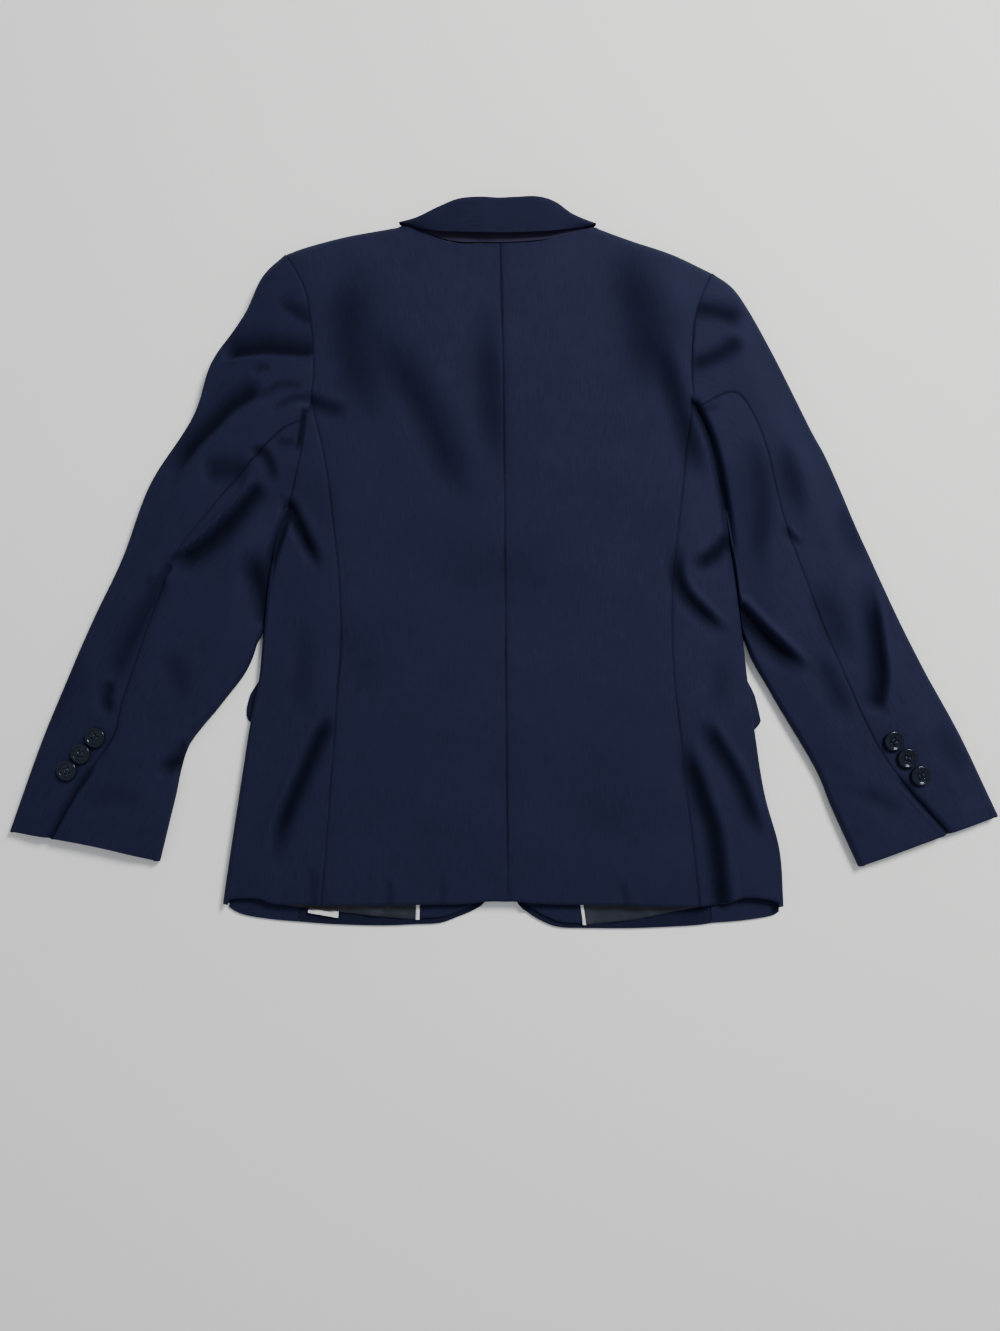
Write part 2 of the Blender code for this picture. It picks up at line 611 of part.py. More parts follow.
# ---------------------------------------------------------------- sleeves
def sleeve_rings(side):
    """Plan lines across a sleeve, from the armhole to the cuff, and its seam."""
    seams = SEAMS[side]
    turn = -1 if side == "left" else 1
    armhole = moved(armhole_line(side), turn * ARMHOLE_GAP / 2)
    outer = curve(seams["sleeve_outer"], SLEEVE_RINGS)
    inner = curve(seams["sleeve_inner"], SLEEVE_RINGS)
    inner = inner + np.array([turn * SIDE_GAP, 0])
    outer[0] = armhole[0]
    shares = np.linspace(0, 1, 41)
    bow = spread(armhole, shares) - (armhole[0] + shares[:, None] * (armhole[-1] - armhole[0]))
    seam = curve(seams["hindarm"], 300)
    rings, crossings = [], []
    for k in range(SLEEVE_RINGS):
        keep = max(0.0, 1 - k / 6.0) ** 2
        line = outer[k] + shares[:, None] * (inner[k] - outer[k]) + keep * bow
        rings.append(line)
        gaps = np.linalg.norm(line[:, None] - seam[None], axis=-1)
        crossings.append(shares[np.unravel_index(gaps.argmin(), gaps.shape)[0]])
    crossings = np.convolve(np.pad(crossings, 1, mode="edge"), [0.25, 0.5, 0.25], mode="valid")
    seam = np.array([spread(line, [share])[0] for line, share in zip(rings, crossings)])
    run = np.diff(seam, axis=0)
    across = np.array([np.diff(spread(line, [share - 0.03, share + 0.03]), axis=0)[0]
                       for line, share in zip(rings, crossings)])
    sines = []
    for ends in (across[:-1], across[1:]):
        sine = np.abs(run[:, 0] * ends[:, 1] - run[:, 1] * ends[:, 0])
        sines.append(sine / (np.linalg.norm(run, axis=1) * np.linalg.norm(ends, axis=1)))
    sine = np.minimum(np.append(sines[0], 1), np.append(1, sines[1]))
    return rings, crossings, SEAM_GAP / 2 / np.maximum(sine, 0.2)


def parted(outer, inner):
    """Outer and inner nets of each section between the seams across a layer."""
    middle = outer[:, :, 1].mean(axis=1)
    seams = [int(np.abs(middle - y).argmin()) for y in SLEEVE_BELOW_SEAMS]
    ends = [0, *seams, len(outer) - 1]
    for first, last in zip(ends[:-1], ends[1:]):
        nets = outer[first:last + 1].copy(), inner[first:last + 1].copy()
        if first > 0:
            shares = SEAM_GAP / np.linalg.norm(nets[0][1] - nets[0][0], axis=1)
            for rows in nets:
                rows[0] += shares[:, None] * (rows[1] - rows[0])
        yield nets


def sleeve(side):
    """A flattened tube open at both ends: top sleeve, under sleeve, layer below.

    The layer on the table has a seam along both edges and two across.
    """
    height = sleeve_top(side)
    rings, crossings, gaps = sleeve_rings(side)
    pieces = {name: ([], []) for name in ("top_sleeve", "under_sleeve", "sleeve_below")}
    centre = np.vstack(rings).mean(axis=0)
    for line, crossing, gap in zip(rings, crossings, gaps):
        length = np.linalg.norm(np.diff(line, axis=0), axis=1).sum()
        insets, lips = [], []
        for piece, end, after, turn in (("top_sleeve", 0, 1, -1), ("under_sleeve", -1, -2, 1)):
            outward = line[end] - line[after]
            outward /= np.linalg.norm(outward)
            half = height(line[end][None])[0] / 2
            for _ in range(3):
                inset = line[end] - outward * half
                half = height(inset[None])[0] / 2
            last = half / length if end == 0 else 1 - half / length
            upper = spread(line, np.linspace(crossing + turn * gap / length, last, UPPER_COLUMNS))
            upper[-1] = inset
            upper_outer = raised(upper, height(upper))
            upper_inner = upper_outer - slopes(upper, height, centre) * WALL
            edge = (inset[None], outward[None], np.zeros(1), np.array([2 * half]))
            round_outer, round_inner = folded_edge(*edge, SLEEVE_EDGE)
            pieces[piece][0].append(np.vstack([upper_outer, round_outer[0]]))
            pieces[piece][1].append(np.vstack([upper_inner, round_inner[0]]))
            insets.append(inset)
            lips.append(folded_edge(*edge, SLEEVE_BELOW_EDGE))
        flat = raised(spread(np.array(insets), np.linspace(0, 1, LOWER_COLUMNS)),
                      np.zeros(LOWER_COLUMNS))
        near, far = lips
        pieces["sleeve_below"][0].append(np.vstack([near[0][0], flat, far[0][0][::-1]]))
        flat = flat + np.array([0, 0, WALL])
        pieces["sleeve_below"][1].append(np.vstack([near[1][0], flat, far[1][0][::-1]]))
    below = pieces.pop("sleeve_below")
    for k, (outer, inner) in enumerate(parted(*map(np.array, below)), start=1):
        wall(f"sleeve_below_{side}_{k}", outer, inner, "wool")
    for piece, (outer, inner) in pieces.items():
        wall(f"{piece}_{side}", np.array(outer), np.array(inner), "wool")


# ----------------------------------------------------------------- collar
def collar_profile(row):
    """Outer face of the folded collar at one station, leaf edge to neck seam."""
    r = dict(zip(COLLAR_COLUMNS, row))
    fold = np.array([r["x_fold"], r["y_fold"]])
    leaf = np.array([r["x_leaf"], r["y_leaf"]])
    neck = np.array([r["x_neck"], r["y_neck"]])
    outward = fold - leaf
    width = np.linalg.norm(outward)
    outward /= width
    half = (r["top"] - r["bottom"]) / 2
    reach = min(half, 0.6 * width)
    inset = fold - outward * reach
    run = []
    for share in (0.0, 0.5):
        place = leaf + share * (inset - leaf)
        run.append((*place, r["top"] - 1.6 * (1 - share) ** 2))
    for angle in np.linspace(math.pi / 2, -math.pi / 2, COLLAR_FOLD_STEPS + 1):
        place = inset + outward * reach * math.cos(angle)
        run.append((*place, r["bottom"] + half + half * math.sin(angle)))
    for share in (0.5, 1.0):
        place = inset + share * (neck - inset)
        run.append((*place, r["bottom"]))
    return np.array(run)


def collar():
    """The top collar folded over, and the under collar inside its fold."""
    net_points = np.array([collar_profile(row) for row in COLLAR])
    along = np.gradient(net_points, axis=0)
    across = np.gradient(net_points, axis=1)
    normal = np.cross(along, across)
    normal /= np.linalg.norm(normal, axis=-1)[..., None]
    if normal[5, 0, 2] < 0:
        normal = -normal
    wall("top_collar", net_points, net_points - normal * THIN_WALL, "wool")
    lining = net_points - normal * (THIN_WALL + LAY_GAP)
    lining[:, 0] = 0.93 * lining[:, 0] + 0.07 * lining[:, 1]
    wall("under_collar", lining[1:-1], (lining - normal * THIN_WALL)[1:-1], "under_collar")


# ----------------------------------------------- inside of the hem, buttons
def inside_pieces(side):
    """Facing, piping and lining that show inside the front's hem."""
    turn = -1 if side == "left" else 1
    base = WALL + LAY_GAP
    x = PIPING_X[side]
    half = PIPING_WIDTH / 2
    low = LINING_HEM[side][0][1]
    strip = ((x - half, INSIDE_TOP), (x - half, low), (x + half, low), (x + half, INSIDE_TOP))
    plate(f"piping_{side}", strip, base, base + THIN_WALL + PIPING_RISE, "white")

    near = np.array([x - turn * (half + SEAM_GAP), 0.0])
    start = np.array([near + [0, FACING_HEM[side][0][1]], near + [0, INSIDE_TOP]])
    start = spread(start, np.linspace(0, 1, FACING_ROWS))
    hem = curve(FACING_HEM[side], FACING_COLUMNS)
    edge = curve(FACING_EDGE[side], FACING_ROWS)
    top = spread(np.array([start[-1], edge[-1]]), np.linspace(0, 1, FACING_COLUMNS))
    hem[0] = start[0]

    def on_front(places):
        return lifts(places, side) + WALL + FACING_GAP

    points = net(hem, top, start, edge)
    outer = raised(points, on_front(points))
    wall(f"facing_{side}", outer, outer + np.array([0, 0, THIN_WALL]), "wool")

    far = x + turn * (half + SEAM_GAP)
    outline = [(far, INSIDE_TOP), (far, low)]
    outline += list(LINING_HEM[side][1:]) + [(LINING_HEM[side][-1][0], INSIDE_TOP)]
    plate(f"lining_{side}", outline, base, base + THIN_WALL, "satin")


def disc(name, profile, sides, place, normal, kind):
    """A turned solid from (radius, height) pairs, the first and last on its axis."""
    points, faces = [], []
    for radius, height in profile[1:-1]:
        for k in range(sides):
            angle = 2 * math.pi * k / sides
            points.append((radius * math.cos(angle), radius * math.sin(angle), height))
    rows = len(profile) - 2
    for i in range(rows - 1):
        for k in range(sides):
            after = (k + 1) % sides
            faces.append((i * sides + k, i * sides + after,
                          (i + 1) * sides + after, (i + 1) * sides + k))
    points.append((0, 0, profile[0][1]))
    points.append((0, 0, profile[-1][1]))
    bottom, top = len(points) - 2, len(points) - 1
    for k in range(sides):
        after = (k + 1) % sides
        faces.append((bottom, after, k))
        faces.append((top, (rows - 1) * sides + k, (rows - 1) * sides + after))
    up = np.array(normal, dtype=float)
    up /= np.linalg.norm(up)
    east = np.cross([0, 1, 0], up)
    east /= np.linalg.norm(east)
    north = np.cross(up, east)
    turned = np.array(points) @ np.array([east, north, up]) + np.array(place)
    return add(name, turned, faces, kind)


def buttons():
    """Three buttons on each cuff vent and two on the front."""
    r, h = BUTTON_RADIUS, BUTTON_HEIGHT
    profile = ((0, 0), (0.80 * r, 0), (r, 0.45 * h), (0.97 * r, 0.85 * h), (0.88 * r, h),
               (0.70 * r, h), (0.60 * r, 0.74 * h), (0, 0.68 * h))
    for side, places in SLEEVE_BUTTONS.items():
        height = sleeve_top(side)
        for k, place in enumerate(places, start=1):
            spot = np.array([place])
            up = slopes(spot, height, spot[0] + np.array([1.0, 0]))[0]
            seat = np.array([*place, height(spot)[0]]) + up * (LAY_GAP + 0.15)
            disc(f"cuff_button_{side}_{k}", profile, BUTTON_SIDES, seat, up, "button")
    r, h = FRONT_BUTTON_RADIUS, FRONT_BUTTON_HEIGHT
    profile = ((0, 0), (0.90 * r, 0), (r, 0.3 * h), (r, 0.8 * h), (0.92 * r, h), (0, h))
    for k, (x, y) in enumerate(FRONT_BUTTONS, start=1):
        disc(f"front_button_{k}", profile, BUTTON_SIDES, (x, y, 0), (0, 0, 1), "button")


def main():
    for made in list(bpy.data.objects):
        bpy.data.objects.remove(made, do_unlink=True)
    for side in SEAMS:
        back(side)
        side_panel(side)
        front(side)
        sleeve(side)
        inside_pieces(side)
        plate(f"lapel_{side}", LAPELS[side], 0, PLATE, "wool")
        plate(f"collar_end_{side}", COLLAR_ENDS[side], 0, PLATE, "wool")
        plate(f"pocket_flap_{side}", FLAPS[side], 0, PLATE, "wool")
    collar()
    label_low = WALL + THIN_WALL + 2 * LAY_GAP
    plate("care_label", LABEL, label_low, label_low + LABEL_WALL, "white")
    buttons()


main()
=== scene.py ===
"""Looks of a boy's navy suit jacket, laid flat on a table with its back up.

Tables are in millimetres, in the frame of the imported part. Each cloth piece is
a fine shell over its solid: a net in the plan between its seams, and a height
with seams, creases and the cloth's own unevenness.
"""

import math

import bpy
import numpy as np
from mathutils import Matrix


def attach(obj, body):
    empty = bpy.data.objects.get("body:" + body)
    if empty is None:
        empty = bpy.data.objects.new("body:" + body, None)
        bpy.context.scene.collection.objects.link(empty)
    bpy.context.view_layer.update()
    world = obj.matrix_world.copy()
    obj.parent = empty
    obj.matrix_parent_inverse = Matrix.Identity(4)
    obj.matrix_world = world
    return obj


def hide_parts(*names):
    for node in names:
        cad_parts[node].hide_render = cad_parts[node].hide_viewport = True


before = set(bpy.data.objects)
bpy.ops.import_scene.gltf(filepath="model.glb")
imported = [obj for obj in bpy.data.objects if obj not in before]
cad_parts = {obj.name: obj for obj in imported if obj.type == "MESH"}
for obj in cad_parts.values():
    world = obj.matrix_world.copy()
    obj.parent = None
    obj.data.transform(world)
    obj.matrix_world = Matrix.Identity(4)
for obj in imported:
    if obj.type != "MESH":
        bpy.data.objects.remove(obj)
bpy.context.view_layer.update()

MM = 0.001

# ------------------------------------------------------------- sizes, mm
WALL = 2.0
THIN_WALL = 1.2
PLATE = 1.6
SEAM_GAP = 0.04           # between two shells along a seam
ARMHOLE_GAP = 0.08
LOWEST = 5.0              # a top layer never lies lower, above what is under it
SIDE_GAP = 1.2
TOUCH_GAP = 0.04          # where a sleeve touches the side
TOUCH_END = -54.0         # y below which it doesn't
TOUCH_FADE = 14.0
LAY_GAP = 0.45
FACING_GAP = 0.95
OVER_GAP = 1.05
SHOULDER_MIDDLE = 8.0
SHOULDER_ROUND = 9.0
SHOULDER_GAP = 0.4        # between back and front at the shoulder
PAD_RISE = 3.0
PAD_SPREAD = (34.0, 26.0)
PAD_PLACES = ((-140.0, 212.0), (132.0, 200.0))
SIDE_SLOPE = 40.0
SLEEVE_SLOPE = 28.0
HEAD_BLEND = 55.0
LIFT_HOLD = 6.0
LIFT_FALL = 26.0
OVERLAP = 15.0
LAP_TOP = 20.0
LAP_FADE = 60.0
STEP = 1.7                # mesh step of what shows
HIDDEN_STEP = 4.5         # and of the layers on the table
BUTTON_RADIUS = 7.7
BUTTON_HEIGHT = 2.9
FRONT_BUTTON_RADIUS = 9.5
FRONT_BUTTON_HEIGHT = 1.9

HEIGHT_COLUMNS = ("y", "middle", "edge")
BODY_HEIGHTS = (
    (-262.0, 11.0, 8.8),
    (-150.0, 11.0, 9.0),
    (-40.0, 11.0, 9.0),
    (50.0, 12.5, 9.4),
    (130.0, 15.0, 12.0),
    (200.0, 17.0, 15.0),
    (262.0, 16.5, 15.0),
)
SLEEVE_HEIGHTS = (
    (-235.0, 10.4, 8.8),
    (-100.0, 11.4, 9.0),
    (50.0, 13.0, 9.6),
    (150.0, 15.5, 12.5),
    (240.0, 18.0, 16.0),
)

# --------------------------------------------- seams and edges, (x, y) mm
CENTRE_BACK = ((3, -255), (2, -152), (0, 78), (-1, 162), (-3, 243))

SEAMS = {
    "left": {
        "side": ((-139, -258), (-128, -111), (-124, -40), (-133, 61), (-146, 126)),
        "armhole": ((-146, 126), (-144, 151), (-146, 185), (-151, 210), (-166, 237)),
        "armpit": ((-146, 126), (-150, 112), (-154, 87), (-164, 44)),
        "hem": ((3, -255), (-14, -255), (-41, -257), (-139, -258)),
        "side_hem": ((-139, -258), (-173, -257), (-187, -253), (-204, -253), (-213, -256)),
        "neck": ((-3, 243), (-33, 243), (-48, 246), (-59, 251), (-80, 258)),
        "shoulder": ((-80, 258), (-118, 251), (-149, 243), (-166, 237)),
        "fold": ((-215, -257), (-210, -223), (-195, -126), (-187, -84), (-184, -48),
                 (-179, 0), (-173, 24), (-164, 44)),
        "under": ((-158, -272), (-146, -150), (-140, -50), (-142, 40), (-146, 126)),
        "under_hem": ((-215, -258), (-202, -266), (-180, -270), (-158, -272)),
        "front_hem": ((-158, -272), (-130, -274), (-93, -275), (-67, -274)),
        "front_edge": ((-67, -274), (-49, -273), (-35, -268), (-23, -263), (-14, -256),
                       (0, -232), (11, -190), (13, -100), (12, -36)),
        "roll": ((12, -36), (-26, 80), (-60, 190), (-80, 258)),
        "hindarm": ((-150, 112), (-170, 102), (-195, 76), (-222, 44), (-246, 14),
                    (-261, -18), (-290, -103), (-296, -128), (-322, -165), (-344, -204)),
        "sleeve_outer": ((-166, 237), (-184, 220), (-198, 192), (-223, 156), (-237, 116),
                         (-270, 64), (-292, 6), (-317, -47), (-349, -122), (-378, -202)),
        "sleeve_inner": ((-164, 44), (-174, 22), (-180, 0), (-186, -50), (-195, -78),
                         (-215, -105), (-241, -139), (-250, -176), (-262, -225)),
    },
    "right": {
        "side": ((149, -259), (136, -143), (128, -68), (130, 7), (143, 126)),
        "armhole": ((143, 126), (142, 152), (144, 187), (150, 206), (158, 223)),
        "armpit": ((143, 126), (152, 110), (159, 91), (170, 44)),
        "hem": ((3, -255), (10, -255), (40, -257), (149, -259)),
        "side_hem": ((149, -259), (170, -256), (183, -252), (203, -254), (213, -259)),
        "neck": ((-3, 243), (22, 244), (37, 247), (51, 251), (72, 257)),
        "shoulder": ((72, 257), (99, 247), (128, 237), (158, 223)),
        "fold": ((214, -259), (211, -216), (199, -171), (188, -100), (183, -58),
                 (177, -8), (173, 20), (170, 44)),
        "under": ((160, -273), (148, -150), (142, -50), (144, 40), (143, 126)),
        "under_hem": ((214, -261), (207, -267), (184, -271), (160, -273)),
        "front_hem": ((160, -273), (144, -275), (100, -277), (62, -277)),
        "front_edge": ((62, -277), (41, -276), (26, -270), (16, -263), (10, -256),
                       (1, -232), (-9, -190), (-13, -100), (-12, -36)),
        "roll": ((-12, -36), (24, 80), (54, 190), (72, 257)),
        "hindarm": ((147, 119), (160, 127), (172, 132), (182, 126), (198, 93), (211, 41),
                    (226, -2), (257, -79), (284, -136), (309, -171), (340, -205)),
        "sleeve_outer": ((158, 223), (178, 207), (204, 164), (233, 107), (247, 81),
                         (271, 27), (295, -26), (322, -80), (348, -127), (378, -190)),
        "sleeve_inner": ((170, 44), (173, 20), (178, -10), (184, -59), (204, -98),
                         (237, -154), (250, -185), (270, -229)),
    },
}

# Creases. Each is a trough along a line: steep on one side, with a ridge there,
# and soft on the other. The steep side is on the line's left (1) or right (-1).
# First and last are the shares of the length over which its ends fade.
CREASE_COLUMNS = ("line", "steep", "soft", "depth", "ridge", "side", "first", "last")
SLEEVE_CREASES = (
    (((-184, 65), (-194, 52), (-208, 36), (-224, 20), (-241, 8), (-258, 0)),
     3.2, 9.5, 6.8, 1.9, -1, 0.1, 0.22),
    (((-180, 135), (-204, 122), (-220, 107), (-237, 90), (-257, 63)), 4, 10, 4.8, 1, 1, 0.15, 0.3),
    (((-148, 160), (-166, 161), (-184, 162), (-216, 159)), 2.6, 13, 4.8, 1.2, 1, 0, 0.2),
    (((-148, 186), (-157, 191), (-172, 202)), 4, 8, 3.4, 0.6, 1, 0, 0.5),
    (((-190, 69), (-208, 72), (-232, 70)), 9, 10, 3.4, 0.3, 1, 0.3, 0.3),
    (((-193, 84), (-184, 86), (-177, 78), (-172, 60)), 3.4, 5, 4, 0.6, 1, 0.2, 0.4),
    (((-179, -42), (-183, -22), (-190, -4), (-200, 14)), 11, 9, 5, 0.2, -1, 0.05, 0.4),
    (((-242, -140), (-250, -149), (-266, -160)), 5, 5, 4.2, 0.6, -1, 0, 0.5),
    (((-298, -86), (-303, -101), (-300, -115)), 4.5, 4.5, 3.2, 0.5, 1, 0.3, 0.3),
    (((-258, -8), (-276, -40), (-292, -72), (-303, -96)), 10, 6, 2.8, 0.5, -1, 0.1, 0.3),
    (((-176, 150), (-184, 149), (-192, 145)), 2.2, 3, 1.8, 0.5, -1, 0.3, 0.4),
    (((-151, 137), (-168, 137), (-180, 131), (-190, 122)), 2.2, 3.4, 2.2, 0.8, -1, 0.1, 0.4),
    (((-148, 129), (-164, 125), (-178, 116)), 2.2, 3.2, 2.2, 0.7, -1, 0.1, 0.4),
    (((-151, 122), (-153, 106), (-157, 84)), 1.9, 3.6, 4.6, 0.6, -1, 0.1, 0.3),
    (((-174, 97), (-166, 94), (-158, 96)), 3, 4, 2.6, 0.5, 1, 0.4, 0.2),
    (((-165, 42), (-174, 22), (-180, 0), (-183, -24)), 2.4, 3, 3.2, 0, 1, 0, 0.5),
    (((-252, 2), (-259, -6), (-263, -16)), 3, 3, 2.4, 0.5, 1, 0.2, 0.4),
    (((-258, -60), (-250, -84), (-244, -106)), 8, 8, 1.6, 0.3, 1, 0.4, 0.4),
    (((-322, -60), (-336, -94), (-350, -130)), 7, 9, 1.6, 0.3, 1, 0.4, 0.4),
    (((-270, -180), (-300, -176), (-330, -184)), 8, 8, 1, 0.2, 1, 0.4, 0.4),
    (((-310, -150), (-326, -172), (-345, -206)), 1.8, 3.4, 2.4, 0.5, 1, 0.2, 0),
    (((180, -33), (194, -48), (213, -66), (232, -84)), 3.8, 9, 6.2, 1.8, 1, 0, 0.4),
    (((276, -6), (281, -34), (285, -62), (287, -86), (283, -114)),
     3.4, 9.5, 4.8, 1.2, 1, 0.4, 0.12),
    (((149, 193), (163, 191), (182, 184)), 6.5, 7, 4.2, 0.4, 1, 0, 0.35),
    (((148, 154), (163, 160), (181, 172)), 6, 7, 4.2, 0.6, 1, 0, 0.3),
    (((208, 100), (214, 76), (220, 50), (224, 22)), 6.5, 9, 2.6, 0.5, 1, 0.4, 0.5),
    (((234, -8), (249, -44), (262, -78)), 8, 10, 2, 0.5, 1, 0.4, 0.4),
    (((252, 50), (264, 22), (272, -4)), 7, 9, 1.4, 0.4, 1, 0.4, 0.4),
    (((184, 104), (192, 72), (196, 46), (193, 16), (191, -8)), 6, 9, 2.6, 0.4, 1, 0.3, 0.3),
    (((236, -66), (250, -94), (262, -124)), 6, 8, 2.2, 0.5, 1, 0.3, 0.4),
    (((262, -170), (286, -180), (306, -194)), 6, 7, 1.4, 0.3, 1, 0.4, 0.4),
    (((147, 119), (156, 119), (166, 121)), 2.2, 3, 2.2, 0.4, -1, 0, 0.5),
    (((212, 31), (217, 22), (226, 15)), 2.4, 3, 1.6, 0.6, 1, 0.3, 0.4),
    (((145, 122), (153, 107), (160, 88), (166, 64), (170, 44), (173, 22)),
     2, 2.6, 3, 0, 1, 0, 0.4),
    (((330, -116), (338, -140), (352, -166)), 6, 8, 1.4, 0.3, 1, 0.4, 0.4),
    (((296, -158), (318, -182), (340, -206)), 1.8, 2.8, 2.2, 0.5, -1, 0.2, 0),
)
BODY_CREASES = (
    (((-164, 44), (-158, 32), (-150, 16), (-139, -6)), 4.6, 4, 5.4, 0.6, 1, 0, 0.45),
    (((-164, 42), (-172, 20), (-178, 0), (-182, -30)), 3, 3.4, 4.4, 0, 1, 0, 0.5),
    (((-131, -112), (-143, -134), (-156, -164), (-169, -196), (-179, -232)),
     4.4, 7, 5, 0.8, -1, 0.15, 0.35),
    (((135, -130), (142, -152), (151, -178), (160, -206), (166, -254)),
     4.6, 8, 5, 0.8, 1, 0.25, 0),
    (((149, -116), (164, -140), (178, -164), (189, -192), (195, -214)),
     4.4, 7, 4, 0.9, 1, 0.2, 0.3),
    (((173, 24), (163, 12), (153, 4), (142, -3)), 4.2, 5.5, 4.6, 0.9, -1, 0.15, 0.35),
    (((134, 18), (131, -4), (137, -21), (152, -37), (170, -55)), 3.8, 6, 4.2, 1.3, 1, 0.3, 0.3),
    (((145, 122), (153, 107), (160, 88), (166, 64), (170, 44), (173, 22), (179, -30)),
     2.6, 4.4, 4.6, 0, 1, 0, 0.4),
    (((112, 176), (122, 146), (131, 120), (140, 92), (149, 60)), 6.5, 9, 3.4, 0.5, 1, 0.3, 0.3),
    (((70, 240), (88, 222), (100, 196), (108, 158), (112, 112)), 15, 18, 3, 0.4, 1, 0.35, 0.4),
    (((-108, 186), (-92, 164), (-74, 138), (-56, 106), (-39, 67), (-18, 34)),
     12, 12, 3, 0.8, 1, 0.35, 0.35),
    (((-147, 124), (-134, 119), (-116, 116)), 4.5, 6, 3.2, 0.5, 1, 0, 0.5),
    (((-104, 240), (-116, 208), (-118, 169), (-108, 130), (-92, 94)),
     17, 16, 3, 0.3, 1, 0.35, 0.4),
    (((-18, 204), (-13, 150), (-10, 100), (-8, 60)), 8, 12, 2.6, 0.2, 1, 0.4, 0.4),
    (((-124, -30), (-112, -70), (-104, -112)), 14, 12, 1, 0.2, 1, 0.4, 0.4),
    (((-150, -36), (-156, -84), (-158, -124)), 9, 8, 1.4, 0.3, 1, 0.4, 0.4),
    (((160, -66), (164, -92), (158, -118)), 8, 8, 1.4, 0.3, 1, 0.4, 0.4),
    (((60, -110), (72, -166), (80, -226)), 24, 22, 0.6, 0, 1, 0.4, 0.3),
    (((-90, 34), (-40, 4), (20, -10), (84, 0)), 34, 30, 0.7, 0, 1, 0.4, 0.4),
    (((-147, -226), (-146, -240), (-146, -256)), 3, 3.6, 1.2, 0.3, 1, 0.5, 0),
    (((-90, -232), (-88, -244), (-88, -256)), 3, 4, 1, 0.2, 1, 0.5, 0),
    (((-48, -236), (-47, -246), (-47, -256)), 2.6, 3, 0.8, 0.2, 1, 0.5, 0),
    (((88, -236), (90, -246), (92, -257)), 3, 4, 0.8, 0.2, 1, 0.5, 0),
)

LAPELS = {
    "left": ((8, -24), (-24, 74), (-57, 187), (-84, 172), (-104, 150), (-92, 100), (-50, 30)),
    "right": ((17, -16), (27, 74), (51, 187), (76, 172), (97, 150), (87, 100), (52, 30)),
}
COLLAR_ENDS = {
    "left": ((-59, 193), (-84, 178), (-110, 184), (-119, 226), (-84, 240)),
    "right": ((53, 193), (76, 178), (100, 184), (108, 216), (76, 238)),
}
FLAPS = {
    "left": ((-183, -82), (-189, -88), (-195, -97), (-198, -108), (-198, -116),
             (-193, -121), (-150, -126), (-84, -124), (-84, -84)),
    "right": ((182, -82), (188, -88), (193, -98), (196, -110), (198, -119),
              (192, -126), (150, -128), (84, -126), (84, -84)),
}
FRONT_BUTTONS = ((0.0, -46.0), (0.0, -132.0))
SLEEVE_BUTTONS = {
    "left": ((-309.5, -130.0), (-320.5, -142.3), (-331.0, -155.0)),
    "right": ((295.5, -132.5), (306.0, -145.5), (316.0, -158.8)),
}

LEANS = {
    "left": ((-0.03, 0.06), (-0.06, 0.03), (-0.03, 0.05)),
    "right": ((0.04, -0.05), (-0.06, -0.04), (0.0, 0.0)),
}

INSIDE_TOP = -196.0
PIPING_WIDTH = 3.0
PIPING_RISE = 0.7
PIPING_X = {"left": -66.0, "right": 60.5}
PIPING_SWAY = {            # by y: how far the seam wanders in x
    "left": ((-274.0, -255.0, -235.0), (-0.4, 0.3, 0.0)),
    "right": ((-276.0, -255.0, -235.0), (1.6, -1.4, 0.0)),
}
FACING_HEM = {
    "left": ((-64, -269), (-48, -268), (-35, -264)),
    "right": ((62, -273), (44, -272), (29, -266)),
}
FACING_EDGE = {
    "left": ((-35, -264), (-24, -258.5), (-17, -251), (-13, -232), (-14, -196)),
    "right": ((29, -266), (19, -259), (11, -250), (5, -232), (0, -196)),
}
LINING_HEM = {
    "left": ((-68.2, -270), (-110, -266), (-150, -261), (-178, -258)),
    "right": ((62.8, -274), (100, -270), (140, -262), (178, -256)),
}
LABEL = ((-150.0, -264.5), (-127.0, -268.5), (-125.5, -251.0), (-148.0, -249.0))
LABEL_WALL = 0.7
LABEL_UNSHADED = (0.12, 0.23)  # how much of its length is left unshaded, at its left and right; above that the label is painted in the hem's shadow

COLLAR_COLUMNS = ("x_fold", "y_fold", "x_leaf", "y_leaf", "x_neck", "y_neck",
                  "top", "bottom")
COLLAR = (
    (-79.5, 260.0, -74.5, 256.8, -73.8, 258.0, 17.0, 10.5),
    (-66.0, 262.5, -63.0, 253.4, -61.5, 252.9, 20.5, 12.4),
    (-49.0, 270.0, -48.0, 250.4, -48.0, 247.4, 22.8, 13.2),
    (-35.0, 275.2, -32.0, 249.4, -33.0, 244.2, 24.0, 14.0),
    (-19.0, 276.6, -18.0, 248.8, -18.0, 243.9, 24.5, 14.2),
    (-4.0, 276.0, -4.0, 248.6, -4.0, 243.8, 24.5, 14.2),
    (10.0, 276.6, 9.0, 248.8, 9.0, 244.2, 24.5, 14.2),
    (25.0, 277.0, 23.0, 249.6, 23.0, 245.2, 24.0, 14.0),
    (38.0, 273.6, 37.0, 250.8, 37.0, 247.5, 22.8, 13.2),
    (53.0, 264.5, 51.0, 253.6, 50.0, 251.3, 20.5, 12.4),
    (70.0, 259.0, 65.0, 256.2, 65.5, 255.8, 17.0, 10.5),
)


